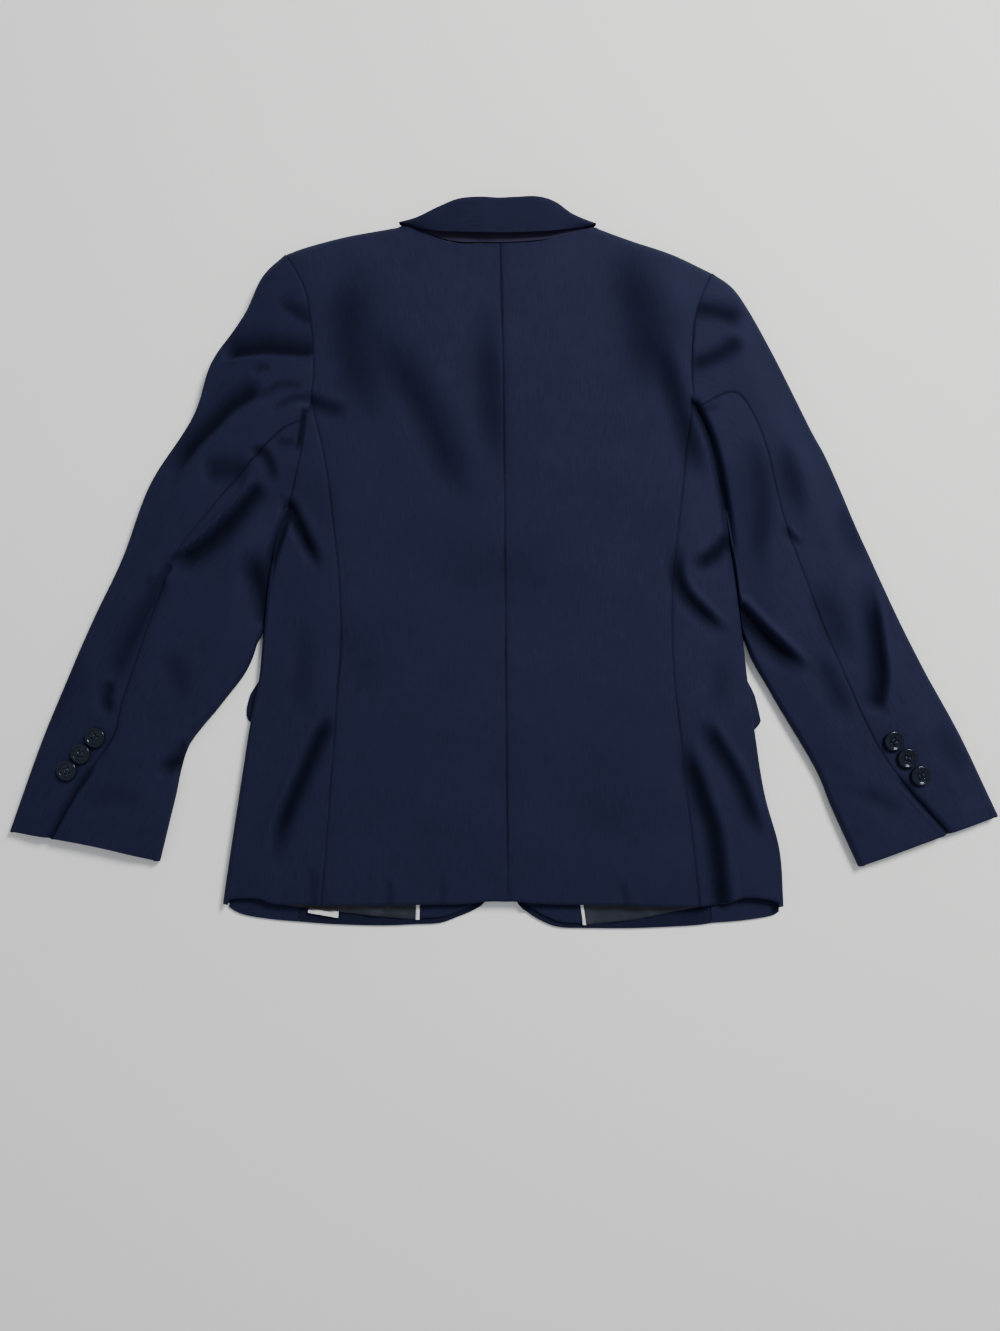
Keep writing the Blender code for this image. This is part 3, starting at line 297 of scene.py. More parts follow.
# --------------------------------------------------------- curves and nets
def curve(points, shares=60):
    """Points at shares of a smooth curve's length, or that many even ones."""
    points = np.array(points, dtype=float)
    knots = np.vstack([2 * points[0] - points[1], points, 2 * points[-1] - points[-2]])
    dense = []
    for k in range(1, len(knots) - 2):
        p0, p1, p2, p3 = knots[k - 1:k + 3]
        for t in np.linspace(0, 1, 24, endpoint=False):
            dense.append(0.5 * (2 * p1 + (p2 - p0) * t
                                + (2 * p0 - 5 * p1 + 4 * p2 - p3) * t ** 2
                                + (3 * p1 - p0 - 3 * p2 + p3) * t ** 3))
    dense.append(points[-1])
    if np.isscalar(shares):
        shares = np.linspace(0, 1, shares)
    return spread(np.array(dense), shares)


def spread(line, shares):
    """Points at the given shares of a polyline's length."""
    steps = np.linalg.norm(np.diff(line, axis=0), axis=1)
    along = np.concatenate([[0.0], np.cumsum(steps)])
    wanted = np.asarray(shares) * along[-1]
    return np.stack([np.interp(wanted, along, line[:, k]) for k in range(line.shape[1])], axis=1)


def joined(*parts):
    return np.vstack([parts[0]] + [part[1:] for part in parts[1:]])


EDGE_STEPS = np.array([0, 0.25, 0.6, 1.1, 1.8, 2.8])


def stations(length, step=STEP, start=True, end=True):
    """Shares of a length: even steps, with finer ones at the given ends."""
    low = EDGE_STEPS if start else EDGE_STEPS[:1]
    high = EDGE_STEPS if end else EDGE_STEPS[:1]
    count = max(2, int(round((length - low[-1] - high[-1]) / step)))
    middle = np.linspace(low[-1], length - high[-1], count + 1)[1:-1]
    return np.concatenate([low, middle, length - high[::-1]]) / length


def net(bottom, top, start, end, u, v):
    """A net of points between four edges, with rows at v and columns at u.

    The bottom and the top edge end on the start and the end edge.
    """
    bottom, top = bottom.copy(), top.copy()
    bottom[0], bottom[-1] = start[0], end[0]
    top[0], top[-1] = start[-1], end[-1]
    v = np.asarray(v)[:, None, None]
    u = np.asarray(u)[None, :, None]
    across = (1 - v) * bottom[None] + v * top[None]
    along = (1 - u) * start[:, None] + u * end[:, None]
    corners = ((1 - v) * ((1 - u) * bottom[0] + u * bottom[-1])
               + v * ((1 - u) * top[0] + u * top[-1]))
    return across + along - corners


def two_seams(first, second, shares, split):
    """Points along two seams in a row, which meet at a share of the whole."""
    low = shares[shares < split] / split
    high = (shares[shares >= split] - split) / (1 - split)
    return np.vstack([curve(first, low), curve(second, high)])


def moved(line, distance):
    """A polyline moved to its left by a distance."""
    direction = np.gradient(line, axis=0)
    direction /= np.linalg.norm(direction, axis=1)[:, None]
    return line + distance * np.stack([-direction[:, 1], direction[:, 0]], axis=1)


def beside(points, line):
    """Distance to a polyline, signed share of it on the left, and place along it."""
    shape = points.shape[:-1]
    flat = points.reshape(-1, 2)
    best = np.full(len(flat), 1e9)
    left = np.zeros(len(flat))
    place = np.zeros(len(flat))
    run = np.diff(line, axis=0)
    lengths = np.maximum(np.linalg.norm(run, axis=1), 1e-6)
    before = np.concatenate([[0.0], np.cumsum(lengths)])
    for k in range(len(run)):
        away = flat - line[k]
        share = np.clip(away @ run[k] / lengths[k] ** 2, 0, 1)
        gap = np.linalg.norm(away - share[:, None] * run[k], axis=1)
        nearer = gap < best
        best = np.where(nearer, gap, best)
        cross = run[k][0] * away[:, 1] - run[k][1] * away[:, 0]
        left = np.where(nearer, np.sign(cross), left)
        place = np.where(nearer, before[k] + share * lengths[k], place)
    return (best.reshape(shape), left.reshape(shape), (place / before[-1]).reshape(shape))


def nearest(points, line):
    return beside(points, line)[0]


def outside(points, outline):
    """Distance from each point to an outline, 0 inside it."""
    ring = np.vstack([outline, outline[:1]]).astype(float)
    gap = nearest(points, ring)
    x, y = points[..., 0], points[..., 1]
    inside = np.zeros(x.shape, dtype=bool)
    for (x0, y0), (x1, y1) in zip(ring[:-1], ring[1:]):
        if y0 != y1:
            crosses = (y0 > y) != (y1 > y)
            inside ^= crosses & (x < (x1 - x0) * (y - y0) / (y1 - y0) + x0)
    return np.where(inside, 0.0, gap)


def smooth(share):
    share = np.clip(share, 0, 1)
    return share * share * (3 - 2 * share)


# ------------------------------------------------------------- base heights
def along_y(rows, y):
    dense = dict(zip(HEIGHT_COLUMNS, curve(rows, 80).T))
    return tuple(np.interp(y, dense["y"], dense[name]) for name in ("middle", "edge"))


def named(rows):
    """A crease table's rows by column, each line as a smooth curve."""
    creases = [dict(zip(CREASE_COLUMNS, row)) for row in rows]
    for crease in creases:
        crease["line"] = curve(crease["line"], 24)
    return creases


CREASES = {"sleeve": named(SLEEVE_CREASES), "body": named(BODY_CREASES)}
FULL_SHADE = 5.0          # depth of a crease from which its painted shade is full, mm


def folds(points, part):
    """The rise of all creases of one part, and the painted shade each point gets in them."""
    rise = np.zeros(points.shape[:-1])
    shade = np.zeros(points.shape[:-1])
    for crease in CREASES[part]:
        line, steep, soft = crease["line"], crease["steep"], crease["soft"]
        reach = max(3.2 * steep, 2.4 * soft)
        low, high = line.min(0) - reach, line.max(0) + reach
        near = ((points > low) & (points < high)).all(axis=-1)
        if not near.any():
            continue
        gap, left, place = beside(points[near], line)
        strength = 1.0
        for share, fade in ((place, crease["first"]), (1 - place, crease["last"])):
            if fade:
                strength = strength * smooth(share / fade)
        away = gap * left * crease["side"]
        trough = strength * np.exp(-(gap / np.where(away > 0, steep, soft)) ** 2)
        crest = strength * np.exp(-((away - 1.9 * steep) / (0.8 * steep)) ** 2)
        rise[near] += crease["ridge"] * crest - crease["depth"] * trough
        shade[near] += (1 - shade[near]) * trough * min(1.0, crease["depth"] / FULL_SHADE)
    return rise, shade


FOLD_LINES = [curve(SEAMS[side]["fold"], 40) for side in SEAMS]
SHOULDER_LINES = [curve(SEAMS[side]["shoulder"], 20) for side in SEAMS]


def shoulder_round(points, height, middle):
    """A height that closes in a half round at the shoulder seams."""
    gap = np.minimum(*[nearest(points, line) for line in SHOULDER_LINES])
    reach = 1 - np.clip(gap / SHOULDER_ROUND, 0, 1)
    return middle + (height - middle) * np.sqrt(1 - reach ** 2)


def body_top(points):
    middle, edge = along_y(BODY_HEIGHTS, points[..., 1])
    inside = np.minimum(*[nearest(points, line) for line in FOLD_LINES])
    height = edge + (middle - edge) * smooth(inside / SIDE_SLOPE)
    for x, y in PAD_PLACES:
        height += PAD_RISE * np.exp(-((points[..., 0] - x) / PAD_SPREAD[0]) ** 2
                                    - ((points[..., 1] - y) / PAD_SPREAD[1]) ** 2)
    height = np.maximum(height + folds(points, "body")[0], LOWEST)
    return shoulder_round(points, height, SHOULDER_MIDDLE)


def armhole_line(side):
    upper = curve(SEAMS[side]["armhole"], 60)[::-1]
    lower = curve(SEAMS[side]["armpit"], 60)
    return joined(upper, lower)


def sleeve_top(side):
    seams = SEAMS[side]
    edges = [curve(seams[name], 60) for name in ("sleeve_outer", "sleeve_inner")]
    armhole = armhole_line(side)

    def height(points):
        middle, edge = along_y(SLEEVE_HEIGHTS, points[..., 1])
        inside = np.minimum(*[nearest(points, line) for line in edges])
        own = edge + (middle - edge) * smooth(inside / SLEEVE_SLOPE)
        own = np.maximum(own + folds(points, "sleeve")[0], LOWEST)
        share = smooth(nearest(points, armhole) / HEAD_BLEND)
        return own * share + body_top(points) * (1 - share)

    return height


def held(gap, lift):
    """What is left of a lift at a distance from what causes it."""
    return lift * (1 - smooth((gap - LIFT_HOLD) / LIFT_FALL))


def lifts(points, side):
    """How far an underside is lifted off the table by what it passes over."""
    lift = np.zeros(points.shape[:-1])
    for outline in (LAPELS[side], COLLAR_ENDS[side], FLAPS[side]):
        gap = outside(points, np.array(outline, dtype=float))
        lift = np.maximum(lift, held(gap, PLATE + LAY_GAP))
    for x, y in FRONT_BUTTONS:
        gap = np.linalg.norm(points - np.array([x, y]), axis=-1) - FRONT_BUTTON_RADIUS
        lift = np.maximum(lift, held(gap, FRONT_BUTTON_HEIGHT + LAY_GAP))
    if side == "right":
        edge = joined(curve(SEAMS["left"]["front_edge"], 30), curve(SEAMS["left"]["roll"], 20)[:4])
        gap = np.where(points[..., 0] < OVERLAP, 0.0, nearest(points, edge))
        near = 1 - smooth((points[..., 1] - LAP_TOP) / LAP_FADE)
        over = lifts(points, "left") + WALL + OVER_GAP
        lift = np.maximum(lift, held(gap, over) * near)
    return lift


def front_height(side):
    def height(points):
        return shoulder_round(points, lifts(points, side), SHOULDER_MIDDLE - SHOULDER_GAP)
    return height


# ----------------------------------------------------------------- meshes
def build(name, points, faces, material, uv=None, sharp=50):
    """One object from points in millimetres, with its cloth's UVs or its plan's."""
    points = np.asarray(points, dtype=float)
    mesh = bpy.data.meshes.new(name)
    mesh.from_pydata((points * MM).tolist(), [], faces)
    uv = points[:, :2] if uv is None else uv
    layer = mesh.uv_layers.new(name="Cloth")
    corners = np.empty(len(mesh.loops), dtype=np.int32)
    mesh.loops.foreach_get("vertex_index", corners)
    layer.data.foreach_set("uv", (uv[corners] * MM).astype(np.float32).ravel())
    mesh.materials.append(material)
    mesh.shade_smooth()
    mesh.set_sharp_from_angle(angle=math.radians(sharp))
    made = bpy.data.objects.new(name, mesh)
    bpy.context.scene.collection.objects.link(made)
    return made


def ring_faces(rows, count):
    """Faces between rows of points that each close in a ring."""
    at = np.arange(rows * count).reshape(rows, count)
    after = np.roll(at, -1, axis=1)
    return np.stack([at[:-1], after[:-1], after[1:], at[1:]], -1).reshape(-1, 4).tolist()


def end_faces(rows, count):
    """Faces from the first and the last ring to the two points that follow them all."""
    low, high = rows * count, rows * count + 1
    last = low - count
    faces = []
    for k in range(count):
        after = (k + 1) % count
        faces += [(low, after, k), (high, last + k, last + after)]
    return faces


SHARP = 38                # degrees between faces from which an edge looks sharp
EDGE_COLUMNS = 6          # of a folded edge, which get the painted shade of the cloth beside them


def shell(name, outer, inner, material, shade=None, inner_shade=0.0):
    """A closed shell between two nets of the same size, with its cloth's UVs.

    The shade is the painted shade of each outer point of the first columns, in creases and along
    seams. The inner shade is painted over the whole inner net.
    """
    rows, columns = outer.shape[:2]
    count = rows * columns
    index = np.arange(count).reshape(rows, columns)
    a, b = index[:-1, :-1].ravel(), index[:-1, 1:].ravel()
    c, d = index[1:, 1:].ravel(), index[1:, :-1].ravel()
    faces = [np.stack([a, b, c, d], 1), np.stack([a, d, c, b], 1) + count]
    for line, flip in ((index[:, 0], False), (index[:, -1], True),
                       (index[0], True), (index[-1], False)):
        side = np.stack([line[:-1], line[1:], line[1:] + count, line[:-1] + count], 1)
        faces.append(side[:, ::-1] if flip else side)
    across = np.zeros((rows, columns))
    across[:, 1:] = np.cumsum(np.linalg.norm(np.diff(outer, axis=1), axis=-1), axis=1)
    across -= across.mean(axis=1)[:, None]
    along = np.zeros((rows, columns))
    along[1:] = np.cumsum(np.linalg.norm(np.diff(outer, axis=0), axis=-1), axis=0)
    uv = np.stack([across, np.broadcast_to(along.mean(axis=1)[:, None], across.shape)], -1)
    points = np.vstack([outer.reshape(-1, 3), inner.reshape(-1, 3)])
    uv = np.vstack([uv.reshape(-1, 2)] * 2)
    faces = np.vstack(faces)
    p0, p1, p2, p3 = (points[faces[:, k]] for k in range(4))
    volume = np.einsum("ij,ij->", p0, np.cross(p1, p2) + np.cross(p2, p3))
    if volume < 0:
        faces = faces[:, ::-1]
    made = build(name, points, faces.tolist(), material, uv, SHARP)
    if shade is not None or inner_shade:
        values = np.zeros((2, rows, columns))
        values[1] = inner_shade
        if shade is not None:
            reach = shade.shape[1]
            values[0, :, :reach] = shade
            values[0, :, reach:reach + EDGE_COLUMNS] = shade[:, -1:]
        layer = made.data.attributes.new("fold", "FLOAT", "POINT")
        layer.data.foreach_set("value", values.ravel())
    return made


def raised(points, height):
    return np.concatenate([points, height[..., None]], axis=-1)


def sideways(normals):
    """Normals turned to lie flat."""
    flat = normals * np.array([1.0, 1.0, 0.0])
    return flat / np.linalg.norm(flat, axis=1)[:, None]


def slopes(points, height, centre, step=0.3):
    """Upward unit normals of a height, read just inside the net's edge."""
    inward = centre - points
    inward /= np.maximum(np.linalg.norm(inward, axis=-1), 1e-6)[..., None]
    probe = points + 0.4 * inward
    east, north = np.array([step, 0.0]), np.array([0.0, step])
    gx = (height(probe + east) - height(probe - east)) / (2 * step)
    gy = (height(probe + north) - height(probe - north)) / (2 * step)
    normal = np.stack([-gx, -gy, np.ones_like(gx)], axis=-1)
    return normal / np.linalg.norm(normal, axis=-1)[..., None]


def dressed(piece, node, rests_on=None):
    """Puts a piece in its CAD node's place and hides that node."""
    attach(piece, "root")
    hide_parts(node)
    if rests_on is None:
        return piece
    mesh = piece.data
    co = np.empty(len(mesh.vertices) * 3)
    mesh.vertices.foreach_get("co", co)
    co = co.reshape(-1, 3)
    return piece


# -------------------------------------------------------------- materials
def nodes_of(name):
    made = bpy.data.materials.new(name)
    made.use_nodes = True
    return made, made.node_tree, made.node_tree.nodes["Principled BSDF"]


def linked(tree, kind, inputs=(), out=0, **settings):
    """An output of a new node with its settings, constants and links."""
    node = tree.nodes.new(kind)
    for key, value in settings.items():
        setattr(node, key, value)
    for key, value in dict(inputs).items():
        if isinstance(value, bpy.types.NodeSocket):
            tree.links.new(value, node.inputs[key])
        else:
            node.inputs[key].default_value = value
    return node.outputs[out]


def maths(tree, operation, *values, clamp=False):
    return linked(tree, "ShaderNodeMath", enumerate(values), operation=operation,
                  use_clamp=clamp)


def product(tree, first, second):
    """The product of two vectors or colours."""
    return linked(tree, "ShaderNodeVectorMath", {0: first, 1: second}, operation="MULTIPLY")


def mapped(tree, value, low, high, start=0.0, end=1.0):
    """A value's span from start to end, mapped to low to high."""
    return linked(tree, "ShaderNodeMapRange", {"Value": value, "From Min": start,
                                               "From Max": end, "To Min": low, "To Max": high})


def noise(tree, place, scale, detail, roughness=0.5, distortion=0.0):
    return linked(tree, "ShaderNodeTexNoise", {"Vector": place, "Scale": scale, "Detail": detail,
                                               "Roughness": roughness, "Distortion": distortion})


def finished(tree, shader, colour, rough, dents, constants):
    """Links a material's colour, roughness and bump, and sets the rest."""
    strength, distance, height = dents
    bump = linked(tree, "ShaderNodeBump", {"Strength": strength, "Distance": distance,
                                           "Height": height})
    for key, socket in (("Base Color", colour), ("Roughness", rough), ("Normal", bump)):
        tree.links.new(socket, shader.inputs[key])
    for key, value in constants.items():
        shader.inputs[key].default_value = value


THREAD_NOISE = (1400.0, 3.0, 0.6)      # scale, detail and roughness of each noise
SHADE_NOISE = (38.0, 4.0, 0.55)
GRAIN_NOISE = (620.0, 3.0, 0.65)
GRAIN_STRETCH = 0.12      # the cloth's grain runs along its length
NOISE_SPAN = (0.25, 0.75)
ROUGH_SPREAD = 0.08
FOLD_ROUGHNESS = 0.3      # added where the nap is pressed flat


def woven(name, dark, light, pitch=0.45, bump=0.25, roughness=0.8, sheen=0.25,
          nap=0.35, mottle=0.25, specular=0.25, tint=(1.0, 1.0, 1.0), painted_shade=0.6, streaks=0.1):
    """A woven cloth: two thread directions, nap, slow random changes of tone, and painted shade
    where its fold attribute is set.
    """
    made, tree, shader = nodes_of(name)
    place = linked(tree, "ShaderNodeTexCoord", out="Object")
    uv = linked(tree, "ShaderNodeUVMap", uv_map="Cloth")
    cloth = linked(tree, "ShaderNodeSeparateXYZ", {"Vector": uv}).node
    waves = [maths(tree, "SINE", maths(tree, "MULTIPLY", cloth.outputs[axis],
                                       2 * math.pi / (pitch * MM))) for axis in ("X", "Y")]
    weave = mapped(tree, maths(tree, "MULTIPLY", *waves), 0.0, 1.0, -1.0, 1.0)
    fuzz = noise(tree, place, *THREAD_NOISE)
    tone = maths(tree, "MULTIPLY_ADD", fuzz, nap, maths(tree, "MULTIPLY", weave, 1.0 - nap))
    shade = linked(tree, "ShaderNodeMix", {0: tone, 6: (*dark, 1.0), 7: (*light, 1.0)}, 2,
                   data_type="RGBA")
    slow = noise(tree, place, *SHADE_NOISE)
    slow = mapped(tree, slow, 1.0 - mottle, 1.0 + mottle, *NOISE_SPAN)
    grain = noise(tree, product(tree, uv, (1.0, GRAIN_STRETCH, 1.0)), *GRAIN_NOISE)
    grain = mapped(tree, grain, 1.0 - streaks, 1.0 + streaks, *NOISE_SPAN)
    # The fold attribute carries painted shade: the colour is darkened there, in creases, in seam
    # grooves and where a piece lies in shadow.
    fold = linked(tree, "ShaderNodeAttribute", out="Fac", attribute_name="fold")
    painted_shade_factor = mapped(tree, fold, 1.0, 1.0 - painted_shade)
    mottle_and_painted_shade = maths(tree, "MULTIPLY", maths(tree, "MULTIPLY", slow, grain), painted_shade_factor)
    rough = mapped(tree, fuzz, roughness - ROUGH_SPREAD, roughness + ROUGH_SPREAD)
    rough = maths(tree, "MULTIPLY_ADD", fold, FOLD_ROUGHNESS, rough, clamp=True)
    finished(tree, shader, product(tree, shade, mottle_and_painted_shade), rough, (bump, 0.00012, tone), {
        "Specular IOR Level": specular, "Specular Tint": (*tint, 1.0), "Sheen Weight": sheen,
        "Sheen Roughness": 0.5, "Sheen Tint": (0.55, 0.65, 1.0, 1.0)})
    return made


def glossy(name, colour, roughness, marks):
    """Moulded plastic with fine marks."""
    made, tree, shader = nodes_of(name)
    place = linked(tree, "ShaderNodeTexCoord", out="Object")
    fine = noise(tree, place, 900.0, 5.0, 0.7)
    shade = mapped(tree, noise(tree, place, 260.0, 2.0, distortion=1.5), 0.6, 1.5)
    rough = mapped(tree, fine, roughness, roughness + marks, 0.35, 0.7)
    finished(tree, shader, product(tree, colour, shade), rough, (0.12, 0.0001, fine), {
        "Specular IOR Level": 0.32, "Specular Tint": (0.78, 0.86, 1.0, 1.0)})
    return made


WOOL = woven("wool", (0.0051, 0.0063, 0.0184), (0.0129, 0.0153, 0.0432), mottle=0.07,
             roughness=0.72, sheen=0.0, specular=0.15, tint=(0.62, 0.66, 1.0), painted_shade=0.72,
             streaks=0.16)
FELT = woven("felt", (0.012, 0.010, 0.028), (0.024, 0.022, 0.052), pitch=0.9, bump=0.5,
             roughness=0.95, sheen=0.1, nap=0.85)
SATIN = woven("satin", (0.013, 0.015, 0.024), (0.019, 0.022, 0.035), pitch=0.3, bump=0.08,
              roughness=0.45, sheen=0.0, nap=0.2, mottle=0.25, specular=0.25)
# Its painted_shade darkens the care label's upper part, in the hem's shadow.
WHITE = woven("white_tape", (0.62, 0.62, 0.62), (0.80, 0.80, 0.80), pitch=0.5, bump=0.3,
              roughness=0.6, sheen=0.0, nap=0.2, mottle=0.05, painted_shade=0.96)
THREAD = woven("thread", (0.010, 0.014, 0.032), (0.030, 0.038, 0.075), pitch=0.4, bump=0.4,
               roughness=0.7, sheen=0.1)
BUTTON = glossy("button", (0.0040, 0.0052, 0.0110), 0.14, 0.08)


# ------------------------------------------------- seams and small relief
def seam_dip(points, lines, depth=0.5, width=0.9, wide=0.15, reach=5.0):
    """The groove along seams, with the pressed band beside it."""
    dip = np.zeros(points.shape[:-1])
    for line in lines:
        gap = nearest(points, line)
        dip = np.maximum(dip, depth * np.exp(-(gap / width) ** 2)
                         + wide * np.exp(-(gap / reach) ** 2))
    return dip


# Painted shade in a thin, patchy line along the seams' grooves.
SEAM_SHADE = 0.62
PATCH_SEED = 21


def shaded(points, part, lines):
    """The painted shade of the cloth: in creases, and in a thin line in the seams' grooves."""
    shade = folds(points, part)[1]
    patches = np.clip(0.62 + uneven(points, PATCH_SEED, ((70.0, 0.45),)), 0.3, 1.0)
    line = SEAM_SHADE * patches * np.minimum(seam_dip(points, lines, 1.0, 0.8, 0.12, 5.0), 1.0)
    return 1 - (1 - shade) * (1 - line)


def edge_dip(points, lines, depth=1.1, width=0.9):
    """The rounding of a turned edge."""
    dip = np.zeros(points.shape[:-1])
    for line in lines:
        dip = np.maximum(dip, depth * np.exp(-(nearest(points, line) / width) ** 2))
    return dip


def uneven(points, seed, waves=((95.0, 0.35), (42.0, 0.07))):
    """The cloth's own slow unevenness."""
    draw = np.random.default_rng(seed)
    rise = np.zeros(points.shape[:-1])
    for wavelength, size in waves:
        for _ in range(6):
            angle = draw.uniform(0, math.pi)
            phase = draw.uniform(0, 2 * math.pi)
            turn = 2 * math.pi / (wavelength * draw.uniform(0.7, 1.4))
            along = points[..., 0] * math.cos(angle) + points[..., 1] * math.sin(angle)
            rise += size / 2.2 * np.sin(along * turn + phase)
    return rise


# ------------------------------------------------------------ body panels
BACK_LENGTH = 500.0       # lengths and widths here set how many stations there are
BACK_WIDTH = 150.0
SIDE_SEAM_SHARE = 0.766   # of a back's outer edge, up to the armhole
NECK_SHARE = 0.5          # of its top edge, up to the shoulder
BODY_SEED = 5
SIDE_LENGTH = 385.0
SIDE_WIDTH = 60.0
UNDER_GAP = 0.2           # beside the seam between side panel and front
FRONT_LENGTH = 520.0
FRONT_WIDTH = 140.0
UNDER_SHARE = 0.74        # of a front's outer edge, up to the armhole
EDGE_SHARE = 0.5          # of its inner edge, up to the lapel's roll


def back(side):
    seams = SEAMS[side]
    turn = -1 if side == "left" else 1
    v = stations(BACK_LENGTH)
    centre = curve(CENTRE_BACK, v) + np.array([turn * SEAM_GAP / 2, 0])
    outer = two_seams(seams["side"], seams["armhole"], v, SIDE_SEAM_SHARE)
    outer = moved(outer, turn * SEAM_GAP / 2)
    u = stations(BACK_WIDTH)
    top = two_seams(seams["neck"], seams["shoulder"], u, NECK_SHARE)
    points = net(curve(seams["hem"], u), top, centre, outer, u, v)
    lines = [curve(CENTRE_BACK, 80), curve(seams["side"], 80), curve(seams["armhole"], 40)]
    edges = [curve(seams["hem"], 60)]

    def height(places):
        return body_top(places) + uneven(places, BODY_SEED)

    normal = slopes(points, height, points.reshape(-1, 2).mean(axis=0))
    shoulder = u >= NECK_SHARE
    normal[-1, shoulder] = sideways(normal[-1, shoulder])
    base = raised(points, height(points))
    outer_face = base.copy()
    outer_face[..., 2] -= seam_dip(points, lines) + edge_dip(points, edges)
    piece = shell(f"back_{side}_cloth", outer_face, base - normal * WALL, WOOL,
                  shade=shaded(points, "body", lines))
    return dressed(piece, f"back_{side}", [f"front_{side}_cloth"])


def folded_edge(inset, outward, low, high, angles):
    """Outer and inner points round a fold, from its upper to its lower side."""
    half = (high - low) / 2
    outer, inner = [], []
    for angle in np.radians(angles):
        c, s = math.cos(angle), math.sin(angle)
        place = np.column_stack([inset + half[:, None] * c * outward, low + half + half * s])
        normal = np.column_stack([outward * c, np.full(len(inset), s)])
        outer.append(place)
        inner.append(place - normal * WALL)
    return np.stack(outer, axis=1), np.stack(inner, axis=1)


SETTLE_ROUNDS = 9         # for a folded edge to reach its own curve
SIDE_FOLD = (78, 60, 42, 24, 8, -8, -24, -42, -60, -78)


def side_panel(side):
    seams = SEAMS[side]
    turn = -1 if side == "left" else 1
    v = stations(SIDE_LENGTH)
    seam = moved(curve(seams["side"], v), -turn * SEAM_GAP / 2)
    fold = curve(seams["fold"], v)
    outward = moved(fold, 1.0) - fold
    outward *= -turn
    u = stations(SIDE_WIDTH, end=False)
    armpit = moved(curve(seams["armpit"], u), -turn * ARMHOLE_GAP / 2)

    def height(places):
        return body_top(places) + uneven(places, BODY_SEED)

    half = (body_top(fold) - lifts(fold, side)) / 2
    for _ in range(SETTLE_ROUNDS):
        inset = fold - outward * half[:, None]
        half = (half + (height(inset) - lifts(inset, side)) / 2) / 2
    upper = net(curve(seams["side_hem"], u), armpit, seam, inset, u, v)
    upper_base = raised(upper, height(upper))
    upper_inner = upper_base - slopes(upper, height, upper.reshape(-1, 2).mean(axis=0)) * WALL
    upper_outer = upper_base.copy()
    lines = [curve(seams["side"], 80), curve(seams["armpit"], 40)]
    upper_outer[..., 2] -= seam_dip(upper, lines) + edge_dip(upper, [curve(seams["side_hem"], 40)])

    fold_outer, fold_inner = folded_edge(inset, outward, lifts(inset, side),
                                         height(inset), SIDE_FOLD)
    w = np.linspace(0, 1, 14)
    under = moved(curve(seams["under"], v), -turn * UNDER_GAP)
    under_hem = curve(seams["under_hem"], w)
    under_top = moved(curve(seams["armpit"], w)[::-1], turn * ARMHOLE_GAP / 2)
    lower = net(under_hem, under_top, inset, under, w, v)
    lower_outer = raised(lower, lifts(lower, side))
    lower_inner = lower_outer + np.array([0, 0, WALL])
    outer = np.concatenate([upper_outer, fold_outer, lower_outer], axis=1)
    inner = np.concatenate([upper_inner, fold_inner, lower_inner], axis=1)
    piece = shell(f"side_{side}_cloth", outer, inner, WOOL, shade=shaded(upper, "body", lines))
    return dressed(piece, f"side_{side}", ["floor"])


# Painted shade on the fronts' inner face, which shows in the shadow under the hem.
INSIDE_SHADE = 0.4


def front(side):
    seams = SEAMS[side]
    turn = -1 if side == "left" else 1
    v = stations(FRONT_LENGTH, HIDDEN_STEP)
    outer = two_seams(seams["under"], seams["armhole"], v, UNDER_SHARE)
    outer = moved(outer, turn * UNDER_GAP)
    inner_edge = two_seams(seams["front_edge"], seams["roll"], v, EDGE_SHARE)
    u = stations(FRONT_WIDTH, HIDDEN_STEP)
    points = net(curve(seams["front_hem"], u), curve(seams["shoulder"], 1 - u),
                 outer, inner_edge, u, v)
    height = front_height(side)
    normal = slopes(points, height, points.reshape(-1, 2).mean(axis=0))
    normal[-1] = sideways(normal[-1])
    outer_face = raised(points, height(points))
    piece = shell(f"front_{side}_cloth", outer_face, outer_face + normal * WALL, WOOL,
                  inner_shade=INSIDE_SHADE)
    below = ["floor"] if side == "left" else ["floor", "front_left_cloth"]
    return dressed(piece, f"front_{side}", below)


# ---------------------------------------------------------------- sleeves
SLEEVE_LENGTH = 480.0
SLEEVE_WIDTHS = {"top_sleeve": 92.0, "under_sleeve": 78.0}
SLEEVE_SEEDS = {"left": 9, "right": 11}
RING_POINTS = 161         # across a sleeve
EVEN_REACH = 4            # rings over which its back seam's place is evened
BOW_SHARE = 1 / 3         # of its length over which the armhole's bow is lost
CUFF_BACK = {"left": 2.2, "right": 0.5}   # how far its upper edge is drawn back
CUFF_SPAN = 14.0          # over this length
SLEEVE_EDGE = (78, 60, 42, 24, 8, -4)
SLEEVE_BELOW_EDGE = (-10, -26, -44, -62, -78)


def spread_each(lines, shares):
    """Points at each line's own shares; the lines are evenly divided."""
    at = np.asarray(shares) * (lines.shape[1] - 1)
    low = np.clip(at.astype(int), 0, lines.shape[1] - 2)
    part = (at - low)[..., None]
    row = np.arange(len(lines))[:, None]
    return lines[row, low] * (1 - part) + lines[row, low + 1] * part


